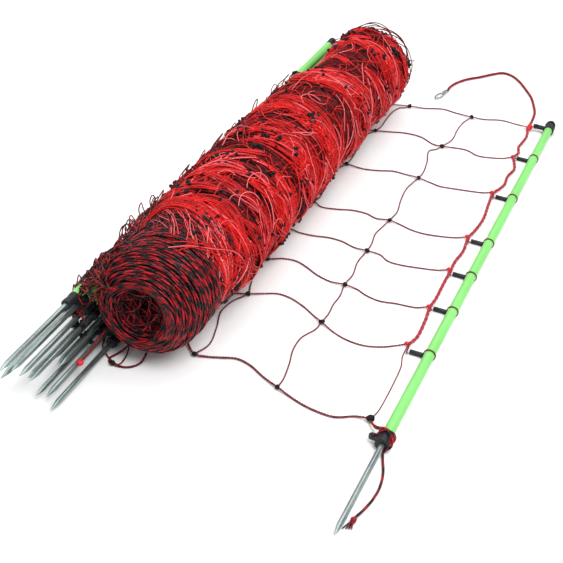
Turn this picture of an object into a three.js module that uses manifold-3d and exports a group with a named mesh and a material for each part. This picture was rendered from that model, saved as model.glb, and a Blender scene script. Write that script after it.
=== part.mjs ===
// Sheep netting: a rolled electric net with its bundled posts, and the last
// metre of net laid flat up to the end post. Millimetres, +Z up, lying on the floor.
// +X runs from the roll to the end post, +Y runs along the posts from spike to cap.
import * as THREE from 'three';
import { mergeVertices } from 'three/addons/utils/BufferGeometryUtils.js';
import Module from 'manifold-3d';

const wasm = await Module();
wasm.setup();

// Common clearances
const fitGap = 0.3;
const floorGap = 0.25;

// Posts
const postLength = 900;
const tubeRadius = 6.7;
const tubeStart = -2;
const socketDepth = 40;
const spikeRadius = 3.5;
const spikeLength = 180;
const bundleSpikeLength = 168;
const spikePoint = 16;
const capLength = 24;
const capTop = 4;

// End post fittings
const endFootRadius = 9.1;
const endFootLength = 22;
const endPostSides = 16;
const lugReach = 20;
const lugWidth = 9;
const lugThickness = 4;
const armReach = 28;
const armWidth = 7;
const eyeRadius = 4.6;
const eyeHole = 2;

// Bundled posts. One layer lies against the roll's left side, a second one outside
// it, and two posts on the floor beside them. Each number is how far that post's foot
// is drawn along the bundle, from the floor up.
const bundleFootRadius = 7;
const bundleFootLength = 22;
const bundleSides = 12;
const innerFeet = [27, 36, 81, 30, 19, 8, -12];
const outerFeet = [36, 90, 58, 2];
const outerFirst = 1.5;
const floorFeet = [106, 54];

// Clips on the end post, measured up from the foot
const clipHeights = [168, 275, 370, 468, 615, 762];
const clipWire = 0.9;
const sleeveRadius = 3.3;
const sleeveLength = 20;
const sleeveShift = 2.5;

// Roll of net: a band at each line, a narrow waist behind the barrel at its near end
const rollAxisX = -327;
const rollRadius = 80;
const valleyDepth = 4;
const rollBore = 34;
const rollSides = 32;
const bandHeights = [177, 275, 360, 458, 600, 731, 797];
const bandHalfWidth = 13;
const barrelDrop = 6;
const barrelStart = 25;
const barrelEnd = 56;
const waistDrop = 11;
const waistHeight = 100;
const nearRim = -20;
const farRim = 866;
const rimRadius = 46;
const endTurns = 5;
const turnDepth = 2.5;
const mouthDepth = 12;

// Flat net
const lineRadius = 1.3;
const bottomLineRadius = 1.7;
const uprightRadius = 1.25;
const selvedgeRadius = 2;
const twineSides = 5;
const knotRadius = 3.7;
const endKnotRadius = 5;
const knotRise = 3.5;

// Ropes
const leadRadius = 2.4;
const tieRadius = 1.8;
const bundleTieRadius = 1.5;
const loopRadius = 1.6;
const tieKnotRadius = 4.2;
const loopKnotRadius = 3.9;
const ropeSides = 8;

// Heights and places that follow from the sizes above
const endPostZ = endFootRadius;
const rollZ = rollRadius;
const rollValley = rollRadius - valleyDepth;
const tubeOuterGap = tubeRadius + fitGap;
const clipRing = tubeOuterGap + clipWire;
const sleeveZ = sleeveRadius + floorGap;
const sleeveNearX = clipWire - clipRing;
const sleeveFarX = sleeveNearX - sleeveLength;
const armRoot = (tubeOuterGap + endFootRadius) / 2;
const capStart = postLength - capLength;
const bundlePitch = 2 * bundleFootRadius + fitGap;

// Where a twine of the flat net starts, just clear of the roll's underside
function rollEdgeX(radius) {
  const reach = rollRadius + radius + fitGap;
  const drop = rollZ - radius - floorGap;
  return rollAxisX + Math.sqrt(reach * reach - drop * drop);
}

// Places [x, z] of the bundled posts
const bundleRing = rollRadius + bundleFootRadius + fitGap;
const bundleStep = 2 * Math.asin(bundlePitch / (2 * bundleRing));
const bundleFirst = Math.acos((rollZ - bundleFootRadius) / bundleRing);
const outerRing = bundleRing * Math.cos(bundleStep / 2) + (bundlePitch * Math.sqrt(3)) / 2;

function besideRoll(ring, count) {
  const angle = bundleFirst + count * bundleStep;
  return [rollAxisX - ring * Math.sin(angle), rollZ - ring * Math.cos(angle)];
}

// A post on the floor against the one given, and one that rests on two others
function onFloor([x, z]) {
  const rise = z - bundleFootRadius;
  return [x - Math.sqrt(bundlePitch * bundlePitch - rise * rise), bundleFootRadius];
}

function nestled([lowX, lowZ], [highX, highZ]) {
  const [acrossX, acrossZ] = [highX - lowX, highZ - lowZ];
  const half = Math.hypot(acrossX, acrossZ) / 2;
  const out = Math.sqrt(bundlePitch * bundlePitch - half * half) / (2 * half);
  return [(lowX + highX) / 2 - out * acrossZ, (lowZ + highZ) / 2 + out * acrossX];
}

function bundlePlaces() {
  const inner = innerFeet.map((foot, index) => [besideRoll(bundleRing, index), foot]);
  const outer = outerFeet.map((foot, index) => [besideRoll(outerRing, outerFirst + index), foot]);
  const floorPost = onFloor(outer[0][0]);
  const restingPost = nestled(floorPost, outer[1][0]);
  return [...inner, ...outer, [floorPost, floorFeet[0]], [restingPost, floorFeet[1]]];
}

// Materials
function material(color, roughness, metalness) {
  return new THREE.MeshStandardMaterial({ color, roughness, metalness });
}
const greenPlastic = material(0x97e884, 0.45, 0);
const blackPlastic = material(0x24262a, 0.5, 0);
const galvanised = material(0xaab4b4, 0.35, 0.9);
const brightSteel = material(0xc8cccc, 0.25, 1);
const redTwine = material(0xc8453c, 0.7, 0);
const darkTwine = material(0x7c3a38, 0.75, 0);
const brownWire = material(0xa87846, 0.5, 0.1);

// Solid helpers
function toSolid(geometry) {
  const bare = geometry.clone();
  bare.deleteAttribute('normal');
  bare.deleteAttribute('uv');
  const welded = mergeVertices(bare, 1e-3);
  const source = welded.index.array;
  const kept = [];
  for (let i = 0; i < source.length; i += 3) {
    const [a, b, c] = [source[i], source[i + 1], source[i + 2]];
    if (a !== b && b !== c && c !== a) kept.push(a, b, c);
  }
  const mesh = new wasm.Mesh({
    numProp: 3,
    vertProperties: new Float32Array(welded.attributes.position.array),
    triVerts: new Uint32Array(kept),
  });
  return new wasm.Manifold(mesh);
}

function toGeometry(solid) {
  const mesh = solid.getMesh();
  const geometry = new THREE.BufferGeometry();
  geometry.setAttribute('position', new THREE.BufferAttribute(mesh.vertProperties, 3));
  geometry.setIndex(new THREE.BufferAttribute(mesh.triVerts, 1));
  geometry.computeVertexNormals();
  return geometry;
}

function join(geometries) {
  let solid = toSolid(geometries[0]);
  for (const other of geometries.slice(1)) solid = solid.add(toSolid(other));
  return toGeometry(solid);
}

function lathe(profile, sides) {
  const points = profile.map(([radius, along]) => new THREE.Vector2(radius, along));
  return new THREE.LatheGeometry(points, sides);
}

function twine(points, radius, sides, steps) {
  const path = new THREE.CatmullRomCurve3(points, false, 'centripetal');
  const corners = [];
  for (let i = 0; i < sides; i += 1) {
    const angle = (2 * Math.PI * i) / sides;
    corners.push(new THREE.Vector2(radius * Math.cos(angle), radius * Math.sin(angle)));
  }
  const section = new THREE.Shape(corners);
  return new THREE.ExtrudeGeometry(section, { steps, bevelEnabled: false, extrudePath: path });
}

function knotBall(x, y, z, radius, detail) {
  return new THREE.IcosahedronGeometry(radius, detail).translate(x, y, z);
}

const part = new THREE.Group();
part.name = 'sheep_netting';

function place(group, name, geometry, look) {
  const mesh = new THREE.Mesh(geometry, look);
  mesh.name = name;
  group.add(mesh);
  return mesh;
}

// Post pieces, drawn along +Y from the foot
function tubeProfile() {
  const end = postLength - capTop - fitGap;
  return [
    [0, tubeStart + socketDepth],
    [spikeRadius + fitGap, tubeStart + socketDepth],
    [spikeRadius + fitGap, tubeStart],
    [tubeRadius, tubeStart],
    [tubeRadius, end],
    [0, end],
  ];
}

// A bundled post carries its cap as one moulding, as wide as its foot
function cappedTubeProfile() {
  return [
    [0, tubeStart + socketDepth],
    [spikeRadius + fitGap, tubeStart + socketDepth],
    [spikeRadius + fitGap, tubeStart],
    [tubeRadius, tubeStart],
    [tubeRadius, capStart],
    [bundleFootRadius, capStart],
    [bundleFootRadius, postLength - capTop / 2],
    [bundleFootRadius - capTop / 2, postLength],
    [0, postLength],
  ];
}

function spikeProfile(length) {
  return [
    [0, -length],
    [spikeRadius, -length + spikePoint],
    [spikeRadius, tubeStart + socketDepth - fitGap],
    [0, tubeStart + socketDepth - fitGap],
  ];
}

function footProfile(radius, length) {
  const top = tubeStart - fitGap;
  return [
    [spikeRadius + fitGap, top - length],
    [radius, top - length],
    [radius, top],
    [spikeRadius + fitGap, top],
    [spikeRadius + fitGap, top - length],
  ];
}

function capProfile() {
  return [
    [0, postLength - capTop],
    [tubeOuterGap, postLength - capTop],
    [tubeOuterGap, capStart],
    [endFootRadius, capStart],
    [endFootRadius, postLength],
    [0, postLength],
  ];
}

// A flat arm to the left that ends in an eye
function eyeArm(reach, width, thickness, alongY) {
  const outline = new THREE.Shape();
  outline.moveTo(-armRoot, -width / 2);
  outline.lineTo(-armRoot, width / 2);
  outline.lineTo(-reach + eyeRadius, eyeRadius);
  outline.absarc(-reach + eyeRadius, 0, eyeRadius, Math.PI / 2, (3 * Math.PI) / 2, false);
  outline.lineTo(-armRoot, -width / 2);
  const hole = new THREE.Path();
  hole.absarc(-reach + eyeRadius, 0, eyeHole, 0, 2 * Math.PI, true);
  outline.holes.push(hole);
  const arm = new THREE.ExtrudeGeometry(outline, { depth: thickness, bevelEnabled: false, curveSegments: 6 });
  return arm.translate(0, alongY, endPostZ - thickness / 2);
}

// End post
const endPost = new THREE.Group();
endPost.name = 'end_post';
part.add(endPost);
const postAxis = [0, 0, endPostZ];
place(endPost, 'end_post_tube', lathe(tubeProfile(), endPostSides).translate(...postAxis), greenPlastic);
place(endPost, 'end_post_spike', lathe(spikeProfile(spikeLength), 12).translate(...postAxis), galvanised);
const footBarrel = lathe(footProfile(endFootRadius, endFootLength), endPostSides).translate(...postAxis);
const footLug = eyeArm(lugReach, lugWidth, lugThickness, tubeStart - endFootLength / 2);
place(endPost, 'end_post_foot', join([footBarrel, footLug]), blackPlastic);
const capBarrel = lathe(capProfile(), endPostSides).translate(...postAxis);
const capArm = eyeArm(armReach, armWidth, lugThickness, capStart + armWidth);
place(endPost, 'end_post_cap', join([capBarrel, capArm]), blackPlastic);

// Clips: a sleeve on the net's line and a wire ring round the end post
const clips = new THREE.Group();
clips.name = 'clips';
part.add(clips);
clipHeights.forEach((height, index) => {
  const ring = new THREE.TorusGeometry(clipRing, clipWire, 6, 16);
  ring.rotateX(Math.PI / 2);
  ring.translate(0, height, endPostZ);
  const sleeve = new THREE.CylinderGeometry(sleeveRadius, sleeveRadius, sleeveLength, 10);
  sleeve.rotateZ(Math.PI / 2);
  sleeve.translate((sleeveNearX + sleeveFarX) / 2, height - sleeveShift, sleeveZ);
  place(clips, `clip_${index + 1}`, join([sleeve, ring]), brownWire);
});

// Bundle of posts beside the roll
const bundle = new THREE.Group();
bundle.name = 'post_bundle';
part.add(bundle);
bundlePlaces().forEach(([[x, z], along], index) => {
  const tag = String(index + 1).padStart(2, '0');
  const post = new THREE.Group();
  post.name = `bundled_${tag}`;
  post.position.set(x, along, z);
  bundle.add(post);
  place(post, `bundle_post_${tag}`, lathe(cappedTubeProfile(), bundleSides), greenPlastic);
  const foot = footProfile(bundleFootRadius, bundleFootLength);
  place(post, `bundle_foot_${tag}`, lathe(foot, bundleSides), blackPlastic);
  place(post, `bundle_spike_${tag}`, lathe(spikeProfile(bundleSpikeLength), 8), galvanised);
});

// Roll: raised bands where the lines lie over each other, rounded ends that show
// the turns as ridges, and a bore
function roundedEnd(shoulder, shoulderRadius, rim) {
  const points = [];
  const inward = Math.sign(shoulder - rim);
  for (let turn = 0; turn <= endTurns; turn += 0.5) {
    const angle = (turn / endTurns) * (Math.PI / 2);
    const groove = turn % 1 === 0 ? 0 : turnDepth;
    const radius = rimRadius + (shoulderRadius - rimRadius - groove) * Math.cos(angle);
    const along = shoulder + (rim - shoulder + groove * inward) * Math.sin(angle);
    points.push([radius, along]);
  }
  return points;
}

function rollProfile() {
  const barrelRadius = rollRadius - barrelDrop;
  const lastBand = bandHeights[bandHeights.length - 1];
  const outside = [[barrelRadius, barrelEnd], [rollRadius - waistDrop, waistHeight]];
  for (const height of bandHeights) {
    outside.push([rollValley, height - 2 * bandHalfWidth]);
    outside.push([rollRadius, height - bandHalfWidth]);
    outside.push([rollRadius, height + bandHalfWidth]);
    if (height !== lastBand) outside.push([rollValley, height + 2 * bandHalfWidth]);
  }
  const far = roundedEnd(lastBand + 2 * bandHalfWidth, rollValley, farRim);
  const inside = [[rollBore, farRim - mouthDepth], [rollBore, nearRim + mouthDepth]];
  const near = roundedEnd(barrelStart, barrelRadius, nearRim).reverse();
  const loop = [...outside, ...far, ...inside, ...near];
  return [...loop, loop[0]];
}

const roll = place(part, 'net_roll', lathe(rollProfile(), rollSides), redTwine);
roll.position.set(rollAxisX, 0, rollZ);

// Flat net. Each line is a list of places on the floor from the roll to the end
// post. A third number lifts a place off the floor.
const knotRows = [
  { side: [-273, 37], middle: [-153, 25], end: [-29, 20] },
  { side: [-267, 190], middle: [-153, 177], end: [-33, 184] },
  { side: [-278, 282], middle: [-156, 274], end: [-32, 278] },
  { side: [-282, 372], middle: [-157, 371], end: [-32, 380] },
  { side: [-278, 463], middle: [-155, 468], end: [-33, 479] },
  { side: [-274, 601], middle: [-155, 615], end: [-33, 627] },
  { side: [-271, 736], middle: [-152, 739], end: [-32.5, 762] },
  { side: [-248, 857], middle: [-136, 872], end: [-36, capStart + 4] },
];
const leaveY = [72, 177, 283, 353, 454, 600, 729, 842];
const firstSpan = [
  [[-258, 41], [-240, 48], [-222, 55], [-202, 51], [-177, 37]],
  [[-249, 203], [-231, 212], [-213, 211], [-189, 201], [-169, 188]],
  [[-259, 296], [-239, 299], [-221, 292], [-201, 281], [-178, 274]],
  [[-264, 372], [-243, 374], [-221, 380], [-200, 380], [-177, 373]],
  [[-262, 457], [-239, 462], [-215, 471], [-193, 472], [-175, 466]],
  [[-245, 602], [-219, 610], [-199, 619], [-179, 619]],
  [[-248, 748], [-224, 757], [-195, 757], [-168, 742]],
  [[-223, 866], [-191, 880], [-167, 877]],
];
const secondSpan = [
  [[-132, 17], [-112, 10], [-88, 6], [-69, 7], [-48, 19]],
  [[-132, 166], [-110, 158], [-86, 157], [-62, 166], [-46, 178]],
  [[-138, 274], [-121, 266], [-100, 262], [-77, 267], [-50, 271]],
  [[-138, 373], [-121, 362], [-98, 362], [-75, 367], [-50, 374]],
  [[-138, 467], [-120, 461], [-98, 459], [-73, 464], [-50, 472]],
  [[-134, 613], [-117, 609], [-93, 613], [-69, 618], [-50, 623]],
  [[-131, 748], [-111, 750], [-89, 740], [-69, 744], [-48, 753]],
  [[-115, 878], [-87, 890], [-60, 889]],
];
const sideStrand = [
  [[-266, 66], [-273, 103], [-283, 139], [-279, 168]],
  [[-273, 213], [-284, 256], [-287, 271]],
  [[-282, 310], [-286, 345]],
  [[-282, 402], [-285, 440]],
  [[-280, 500], [-286, 545], [-280, 582]],
  [[-279, 640], [-284, 690], [-277, 720]],
  [[-277, 770], [-281, 812], [-267, 840]],
];
const middleStrand = [
  [[-153, 44], [-158, 76], [-165, 107], [-165, 135], [-155, 161]],
  [[-152, 200], [-154, 225], [-153, 247]],
  [[-155, 305], [-160, 340]],
  [[-158, 395], [-162, 423], [-159, 448]],
  [[-153, 500], [-159, 537], [-162, 577]],
  [[-154, 638], [-159, 677], [-167, 716], [-158, 728]],
  [[-144, 775], [-146, 815], [-144, 850]],
];
const selvedgeStrand = [
  [[-26, 40], [-26, 104], [-28, 138], [-33, 160]],
  [[-28, 205], [-29, 245]],
  [[-31, 304], [-32, 345]],
  [[-33, 405], [-30, 440]],
  [[-30, 500], [-27, 542], [-31, 590]],
  [[-28, 645], [-24, 665], [-26, 692], [-22, 722], [-27, 744]],
  [[-29, 782], [-34, 803], [-32, 825], [-31, 851]],
];

function lay(places, radius) {
  return places.map(([x, y, z]) => new THREE.Vector3(x, y, z ?? radius + floorGap));
}

function knot([x, y], z) {
  return [x, y, z];
}

const netPieces = [];
knotRows.forEach((row, index) => {
  const radius = index === 0 ? bottomLineRadius : lineRadius;
  const start = [rollEdgeX(radius), leaveY[index]];
  const places = [start, knot(row.side, knotRise), ...firstSpan[index]];
  places.push(knot(row.middle, knotRise), ...secondSpan[index]);
  const top = index === knotRows.length - 1;
  const bottom = index === 0;
  const endHeight = top || bottom ? endPostZ - knotRise : sleeveZ + floorGap;
  places.push(knot(row.end, endHeight));
  if (!top && !bottom) {
    const sleeveY = clipHeights[index - 1] - sleeveShift;
    places.push([sleeveFarX - 2 * lineRadius, sleeveY, sleeveZ], [sleeveFarX - fitGap, sleeveY, sleeveZ]);
  }
  netPieces.push(twine(lay(places, radius), radius, twineSides, 22));
  netPieces.push(knotBall(...row.side, knotRise + floorGap, knotRadius, 0));
  netPieces.push(knotBall(...row.middle, knotRise + floorGap, knotRadius, 0));
  netPieces.push(knotBall(...row.end, endHeight, top || bottom ? endKnotRadius : knotRadius, top ? 1 : 0));
});

function upright(column, strands, radius, height) {
  const places = [];
  knotRows.forEach((row, index) => {
    places.push(knot(row[column], height));
    if (index < strands.length) places.push(...strands[index]);
  });
  return twine(lay(places, radius), radius, twineSides, 46);
}
netPieces.push(upright('side', sideStrand, uprightRadius, knotRise));
netPieces.push(upright('middle', middleStrand, uprightRadius, knotRise));
netPieces.push(upright('end', selvedgeStrand, selvedgeRadius, sleeveZ));
place(part, 'net_panel', join(netPieces), darkTwine);

// Lead rope from the top knot to its steel snap, lying on the floor
const ropes = new THREE.Group();
ropes.name = 'ropes';
part.add(ropes);
const topKnot = knotRows[knotRows.length - 1].end;
const leadPlaces = [
  [topKnot[0] + 0.5, topKnot[1] + endKnotRadius + fitGap, endPostZ - knotRise],
  [-36, 908], [-39, 947], [-47, 975], [-60, 1009], [-76, 1036], [-98, 1068], [-116, 1084],
  [-132, 1087], [-147, 1073], [-168, 1045], [-188, 1021], [-202, 991], [-206, 968], [-205.5, 957],
  [-207, 950],
];
const leadEnd = leadPlaces[leadPlaces.length - 1];
place(ropes, 'lead_rope', twine(lay(leadPlaces, leadRadius), leadRadius, ropeSides, 44), redTwine);

const snapLength = 30;
const snapWidth = 13;
const snapWire = 3;
const ferruleRadius = 3.6;
const ferruleLength = 11;
const snapTurn = -0.21;
const snapOutline = new THREE.Shape();
const snapHalf = snapWidth / 2;
const snapStraight = snapLength - snapWidth;
snapOutline.absarc(0, 0, snapHalf, 0, Math.PI, false);
snapOutline.absarc(0, -snapStraight, snapHalf, Math.PI, 2 * Math.PI, false);
const snapHole = new THREE.Path();
snapHole.absarc(0, 0, snapHalf - snapWire, 0, Math.PI, false);
snapHole.absarc(0, -snapStraight, snapHalf - snapWire, Math.PI, 2 * Math.PI, false);
snapOutline.holes.push(snapHole);
const snapLink = new THREE.ExtrudeGeometry(snapOutline, { depth: snapWire, bevelEnabled: false, curveSegments: 8 });
snapLink.translate(0, -ferruleLength - snapHalf + snapWire / 2, -snapWire / 2);
const ferrule = new THREE.CylinderGeometry(ferruleRadius, ferruleRadius, ferruleLength, 10);
ferrule.translate(0, -ferruleLength / 2, 0);
const snap = place(ropes, 'lead_connector', join([ferrule, snapLink]), brightSteel);
snap.position.set(leadEnd[0], leadEnd[1] - fitGap, ferruleRadius);
snap.rotation.z = snapTurn;

// Tie rope at the foot of the end post, with its stopper knot
const tieKnotPlace = [10, -146];
const tieTop = tubeStart - endFootLength - 2 * fitGap;
const tiePlaces = [
  [4, tieTop, 3], [4.3, tieTop - 5, 2.6], [8, -40], [13, -53], [17, -68], [19, -85], [18, -105],
  [14, -125], [tieKnotPlace[0], tieKnotPlace[1] + tieKnotRadius + fitGap, 4],
];
place(ropes, 'tie_rope', twine(lay(tiePlaces, tieRadius), tieRadius, ropeSides, 24), darkTwine);
place(ropes, 'tie_knot', knotBall(...tieKnotPlace, tieKnotRadius, tieKnotRadius, 1), redTwine);

// Short tie at the spikes of the bundle, its knot resting on two of them
const shortTiePlaces = [
  [-377, -6, 33.8], [-379, -20, 28], [-380, -36, 24], [-380.3, -50, 22], [-380.3, -59.5, 21.6],
];
const shortKnotPlace = [-380.3, -64, 21.6];
place(ropes, 'bundle_tie', twine(lay(shortTiePlaces, bundleTieRadius), bundleTieRadius, ropeSides, 16), redTwine);
place(ropes, 'bundle_tie_knot', knotBall(...shortKnotPlace, tieKnotRadius, 1), redTwine);

// A loop of the bottom line that has slipped off the roll's near end
const loopKnotPlace = [-356, -27];
const loopPlaces = [
  [-352, 12, 10], [-356, 2, 4.8], [-362, -8], [-365, -17], [-362, -24], [...loopKnotPlace, knotRise],
  [-342, -26], [-332, -20], [-326, -8], [-326, 8, 6.5],
];
const loopTwine = twine(lay(loopPlaces, loopRadius), loopRadius, ropeSides, 30);
const loopBall = knotBall(...loopKnotPlace, loopKnotRadius + floorGap, loopKnotRadius, 1);
place(ropes, 'net_loop', join([loopTwine, loopBall]), darkTwine);

// Put the origin under the middle of the part, ropes left out of the count
const box = new THREE.Box3();
part.updateMatrixWorld(true);
for (const child of part.children) {
  if (child !== ropes) box.expandByObject(child, true);
}
part.position.set(-(box.min.x + box.max.x) / 2, -(box.min.y + box.max.y) / 2, -box.min.z);
part.updateMatrixWorld(true);

export default part;
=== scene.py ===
import math

import bmesh
import bpy
import numpy as np
from mathutils import Matrix, Quaternion, Vector
from mathutils.geometry import convex_hull_2d


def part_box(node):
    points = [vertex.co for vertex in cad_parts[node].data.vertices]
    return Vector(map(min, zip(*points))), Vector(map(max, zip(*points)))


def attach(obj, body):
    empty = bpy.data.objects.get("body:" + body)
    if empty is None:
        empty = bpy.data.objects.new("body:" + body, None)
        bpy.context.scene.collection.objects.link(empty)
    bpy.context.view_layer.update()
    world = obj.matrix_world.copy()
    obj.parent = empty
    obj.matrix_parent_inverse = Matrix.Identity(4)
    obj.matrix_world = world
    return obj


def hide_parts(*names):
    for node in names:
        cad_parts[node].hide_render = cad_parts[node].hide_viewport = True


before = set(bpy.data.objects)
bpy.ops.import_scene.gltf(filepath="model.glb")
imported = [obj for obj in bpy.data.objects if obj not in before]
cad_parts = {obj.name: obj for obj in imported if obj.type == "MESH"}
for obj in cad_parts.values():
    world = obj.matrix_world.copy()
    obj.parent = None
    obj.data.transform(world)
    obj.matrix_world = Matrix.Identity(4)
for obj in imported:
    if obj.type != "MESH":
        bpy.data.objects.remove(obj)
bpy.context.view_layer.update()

bl_info = {
    "name": "Sheep Netting",
    "version": (1, 0, 0),
    "blender": (4, 5, 0),
    "location": "3D View > Sidebar > Netting",
    "description": "Builds a rolled electric sheep net with its posts",
    "category": "Object",
}

MM = 0.001
TUBE_LOW, TUBE_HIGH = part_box("end_post_tube")
# The foot of the end post's tube, from which every place below is measured in mm
SHIFT = Vector(((TUBE_LOW.x + TUBE_HIGH.x) / 2, TUBE_LOW.y + 2 * MM, 0))
POST_Z = (TUBE_LOW.z + TUBE_HIGH.z) / 2 / MM
BUNDLE = [f"{count:02d}" for count in range(1, 14)]
ROLL_LOW, ROLL_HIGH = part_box("net_roll")
ROLL_X = ((ROLL_LOW.x + ROLL_HIGH.x) / 2 - SHIFT.x) / MM
ROLL_Z = (ROLL_LOW.z + ROLL_HIGH.z) / 2 / MM
NEAR_RIM = (ROLL_LOW.y - SHIFT.y) / MM
FAR_RIM = (ROLL_HIGH.y - SHIFT.y) / MM
# Heights in mm of the bands that the lines make on the roll
BANDS = [177, 275, 360, 458, 600, 731, 797]
# Where a ring of twine holds the one bundled post that is seen beyond the roll, in mm
RING_Y = 706
# Radii in mm: the roll on which runs are laid out, the round part of the hull, and a post with its foot
LAID_RADIUS, HULL_RADIUS, POST_REACH = 75, 74.0, 8.2
# Twine on the floor, and turns of the thicker line there, keep their middle this high in mm
TWINE_ON_FLOOR, TURN_ON_FLOOR = 1.4, 2.2
# Length in mm between two points of a slack curl
CURL_STEP = 4.5
# The photo's size and focal length in pixels, and the camera's place, aim and roll
PHOTO_PX, FOCAL_PX, SENSOR = 563, 1200, 36
CAMERA_PLACE, CAMERA_AIM, CAMERA_ROLL = (242.2, -1053.4, 956.7), (-239.2, 243.5, 0), 0.07616
# Posts, in mm: outer radius of the tube, radius of the spike and how far it goes up into the tube
TUBE, SPIKE, SPIKE_TOP = 6.7, 3.5, 37


# Sizes and colours a user would change
class NettingSizes(bpy.types.PropertyGroup):
    """Sizes of the net's twines and ropes"""

    line: bpy.props.FloatProperty(
        name="Line", description="Diameter of the flat net's lines",
        default=0.0026, unit="LENGTH")
    upright: bpy.props.FloatProperty(
        name="Upright", description="Diameter of the flat net's uprights",
        default=0.0025, unit="LENGTH")
    edge: bpy.props.FloatProperty(
        name="Edge Cord", description="Diameter of the doubled cord along the end post",
        default=0.0044, unit="LENGTH")
    lead: bpy.props.FloatProperty(
        name="Lead Rope", description="Diameter of the lead rope",
        default=0.0048, unit="LENGTH")
    tie: bpy.props.FloatProperty(
        name="Tie Rope", description="Diameter of the tie rope at the foot",
        default=0.0036, unit="LENGTH")
    roll: bpy.props.FloatProperty(
        name="Roll Twine", description="Diameter of a twine in the roll",
        default=0.0016, unit="LENGTH")
    barrel: bpy.props.FloatProperty(
        name="Barrel Twine", description="Diameter of the twine wound on the near end",
        default=0.0031, unit="LENGTH")


class NettingColours(bpy.types.PropertyGroup):
    """Colours of the net and its posts"""

    red: bpy.props.FloatVectorProperty(
        name="Bright Red", description="Twine of the roll",
        default=(0.8, 0.008, 0.006), subtype="COLOR")
    dark: bpy.props.FloatVectorProperty(
        name="Dark Red", description="Shaded twine of the roll",
        default=(0.42, 0.003, 0.006), subtype="COLOR")
    mauve: bpy.props.FloatVectorProperty(
        name="Brown Mauve", description="Twine of the flat net",
        default=(0.26, 0.03, 0.05), subtype="COLOR")
    black: bpy.props.FloatVectorProperty(
        name="Black", description="Black strand and knots",
        default=(0.008, 0.006, 0.008), subtype="COLOR")
    green: bpy.props.FloatVectorProperty(
        name="Green", description="Plastic tube of the posts",
        default=(0.2, 0.6, 0.15), subtype="COLOR")
    steel: bpy.props.FloatVectorProperty(
        name="Steel", description="Galvanised spike",
        default=(0.36, 0.44, 0.43), subtype="COLOR")


def sizes():
    return bpy.context.scene.netting_sizes


def colours():
    return bpy.context.scene.netting_colours


# Places
def place(x, y, z=0.0):
    return np.array([x * MM + SHIFT.x, y * MM + SHIFT.y, z * MM])


def places(points, height):
    return [place(*p) if len(p) == 3 else place(p[0], p[1], height) for p in points]


def smooth_path(points, step):
    """Points every step metres along a rounded line through the given ones."""
    p = np.asarray(points, float)
    ends = np.vstack([2 * p[0] - p[1], p, 2 * p[-1] - p[-2]])
    gaps = np.sqrt(np.maximum(np.linalg.norm(np.diff(ends, axis=0), axis=1), 1e-9))
    knots = np.concatenate([[0], np.cumsum(gaps)])
    fine = []
    for i in range(1, len(ends) - 2):
        count = max(4, int(np.linalg.norm(ends[i + 1] - ends[i]) / step * 1.5))
        t = np.linspace(knots[i], knots[i + 1], count, endpoint=False)[:, None]
        a1 = (knots[i] - t) * ends[i - 1] + (t - knots[i - 1]) * ends[i]
        a1 /= knots[i] - knots[i - 1]
        a2 = (knots[i + 1] - t) * ends[i] + (t - knots[i]) * ends[i + 1]
        a2 /= knots[i + 1] - knots[i]
        a3 = (knots[i + 2] - t) * ends[i + 1] + (t - knots[i + 1]) * ends[i + 2]
        a3 /= knots[i + 2] - knots[i + 1]
        b1 = (knots[i + 1] - t) * a1 + (t - knots[i - 1]) * a2
        b1 /= knots[i + 1] - knots[i - 1]
        b2 = (knots[i + 2] - t) * a2 + (t - knots[i]) * a3
        b2 /= knots[i + 2] - knots[i]
        fine.append(((knots[i + 1] - t) * b1 + (t - knots[i]) * b2) / (knots[i + 1] - knots[i]))
    fine.append(p[-1:])
    line = np.vstack(fine)
    run = np.concatenate([[0], np.cumsum(np.linalg.norm(np.diff(line, axis=0), axis=1))])
    at = np.linspace(0, run[-1], max(3, int(run[-1] / step) + 1))
    return np.stack([np.interp(at, run, line[:, k]) for k in range(3)], 1)


def side_vectors(line):
    """A pair of unit vectors across the line at each point, which turn as little as they can."""
    along = np.gradient(line, axis=0)
    along /= np.linalg.norm(along, axis=1)[:, None]
    side = np.zeros_like(line)
    side[0] = np.cross(along[0], [0, 0, 1]) + 1e-6
    for i in range(len(line)):
        start = side[0] if i == 0 else side[i - 1]
        side[i] = start - along[i] * np.dot(start, along[i])
        side[i] /= np.linalg.norm(side[i])
    return side, np.cross(along, side)


def plies(points, diameter, pitch, count=2, step=None, phase=0.0):
    """The strands of a twisted cord, each as a run of points and its radius."""
    line = smooth_path(points, step or pitch / 7)
    side, up = side_vectors(line)
    run = np.concatenate([[0], np.cumsum(np.linalg.norm(np.diff(line, axis=0), axis=1))])
    strand = diameter * (0.29 if count == 2 else 0.25)
    reach = diameter / 2 - strand
    runs = []
    for ply in range(count):
        turn = 2 * math.pi * (run / pitch + ply / count) + phase
        offset = side * np.cos(turn)[:, None] + up * np.sin(turn)[:, None]
        runs.append((line + reach * offset, strand))
    return runs


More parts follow.
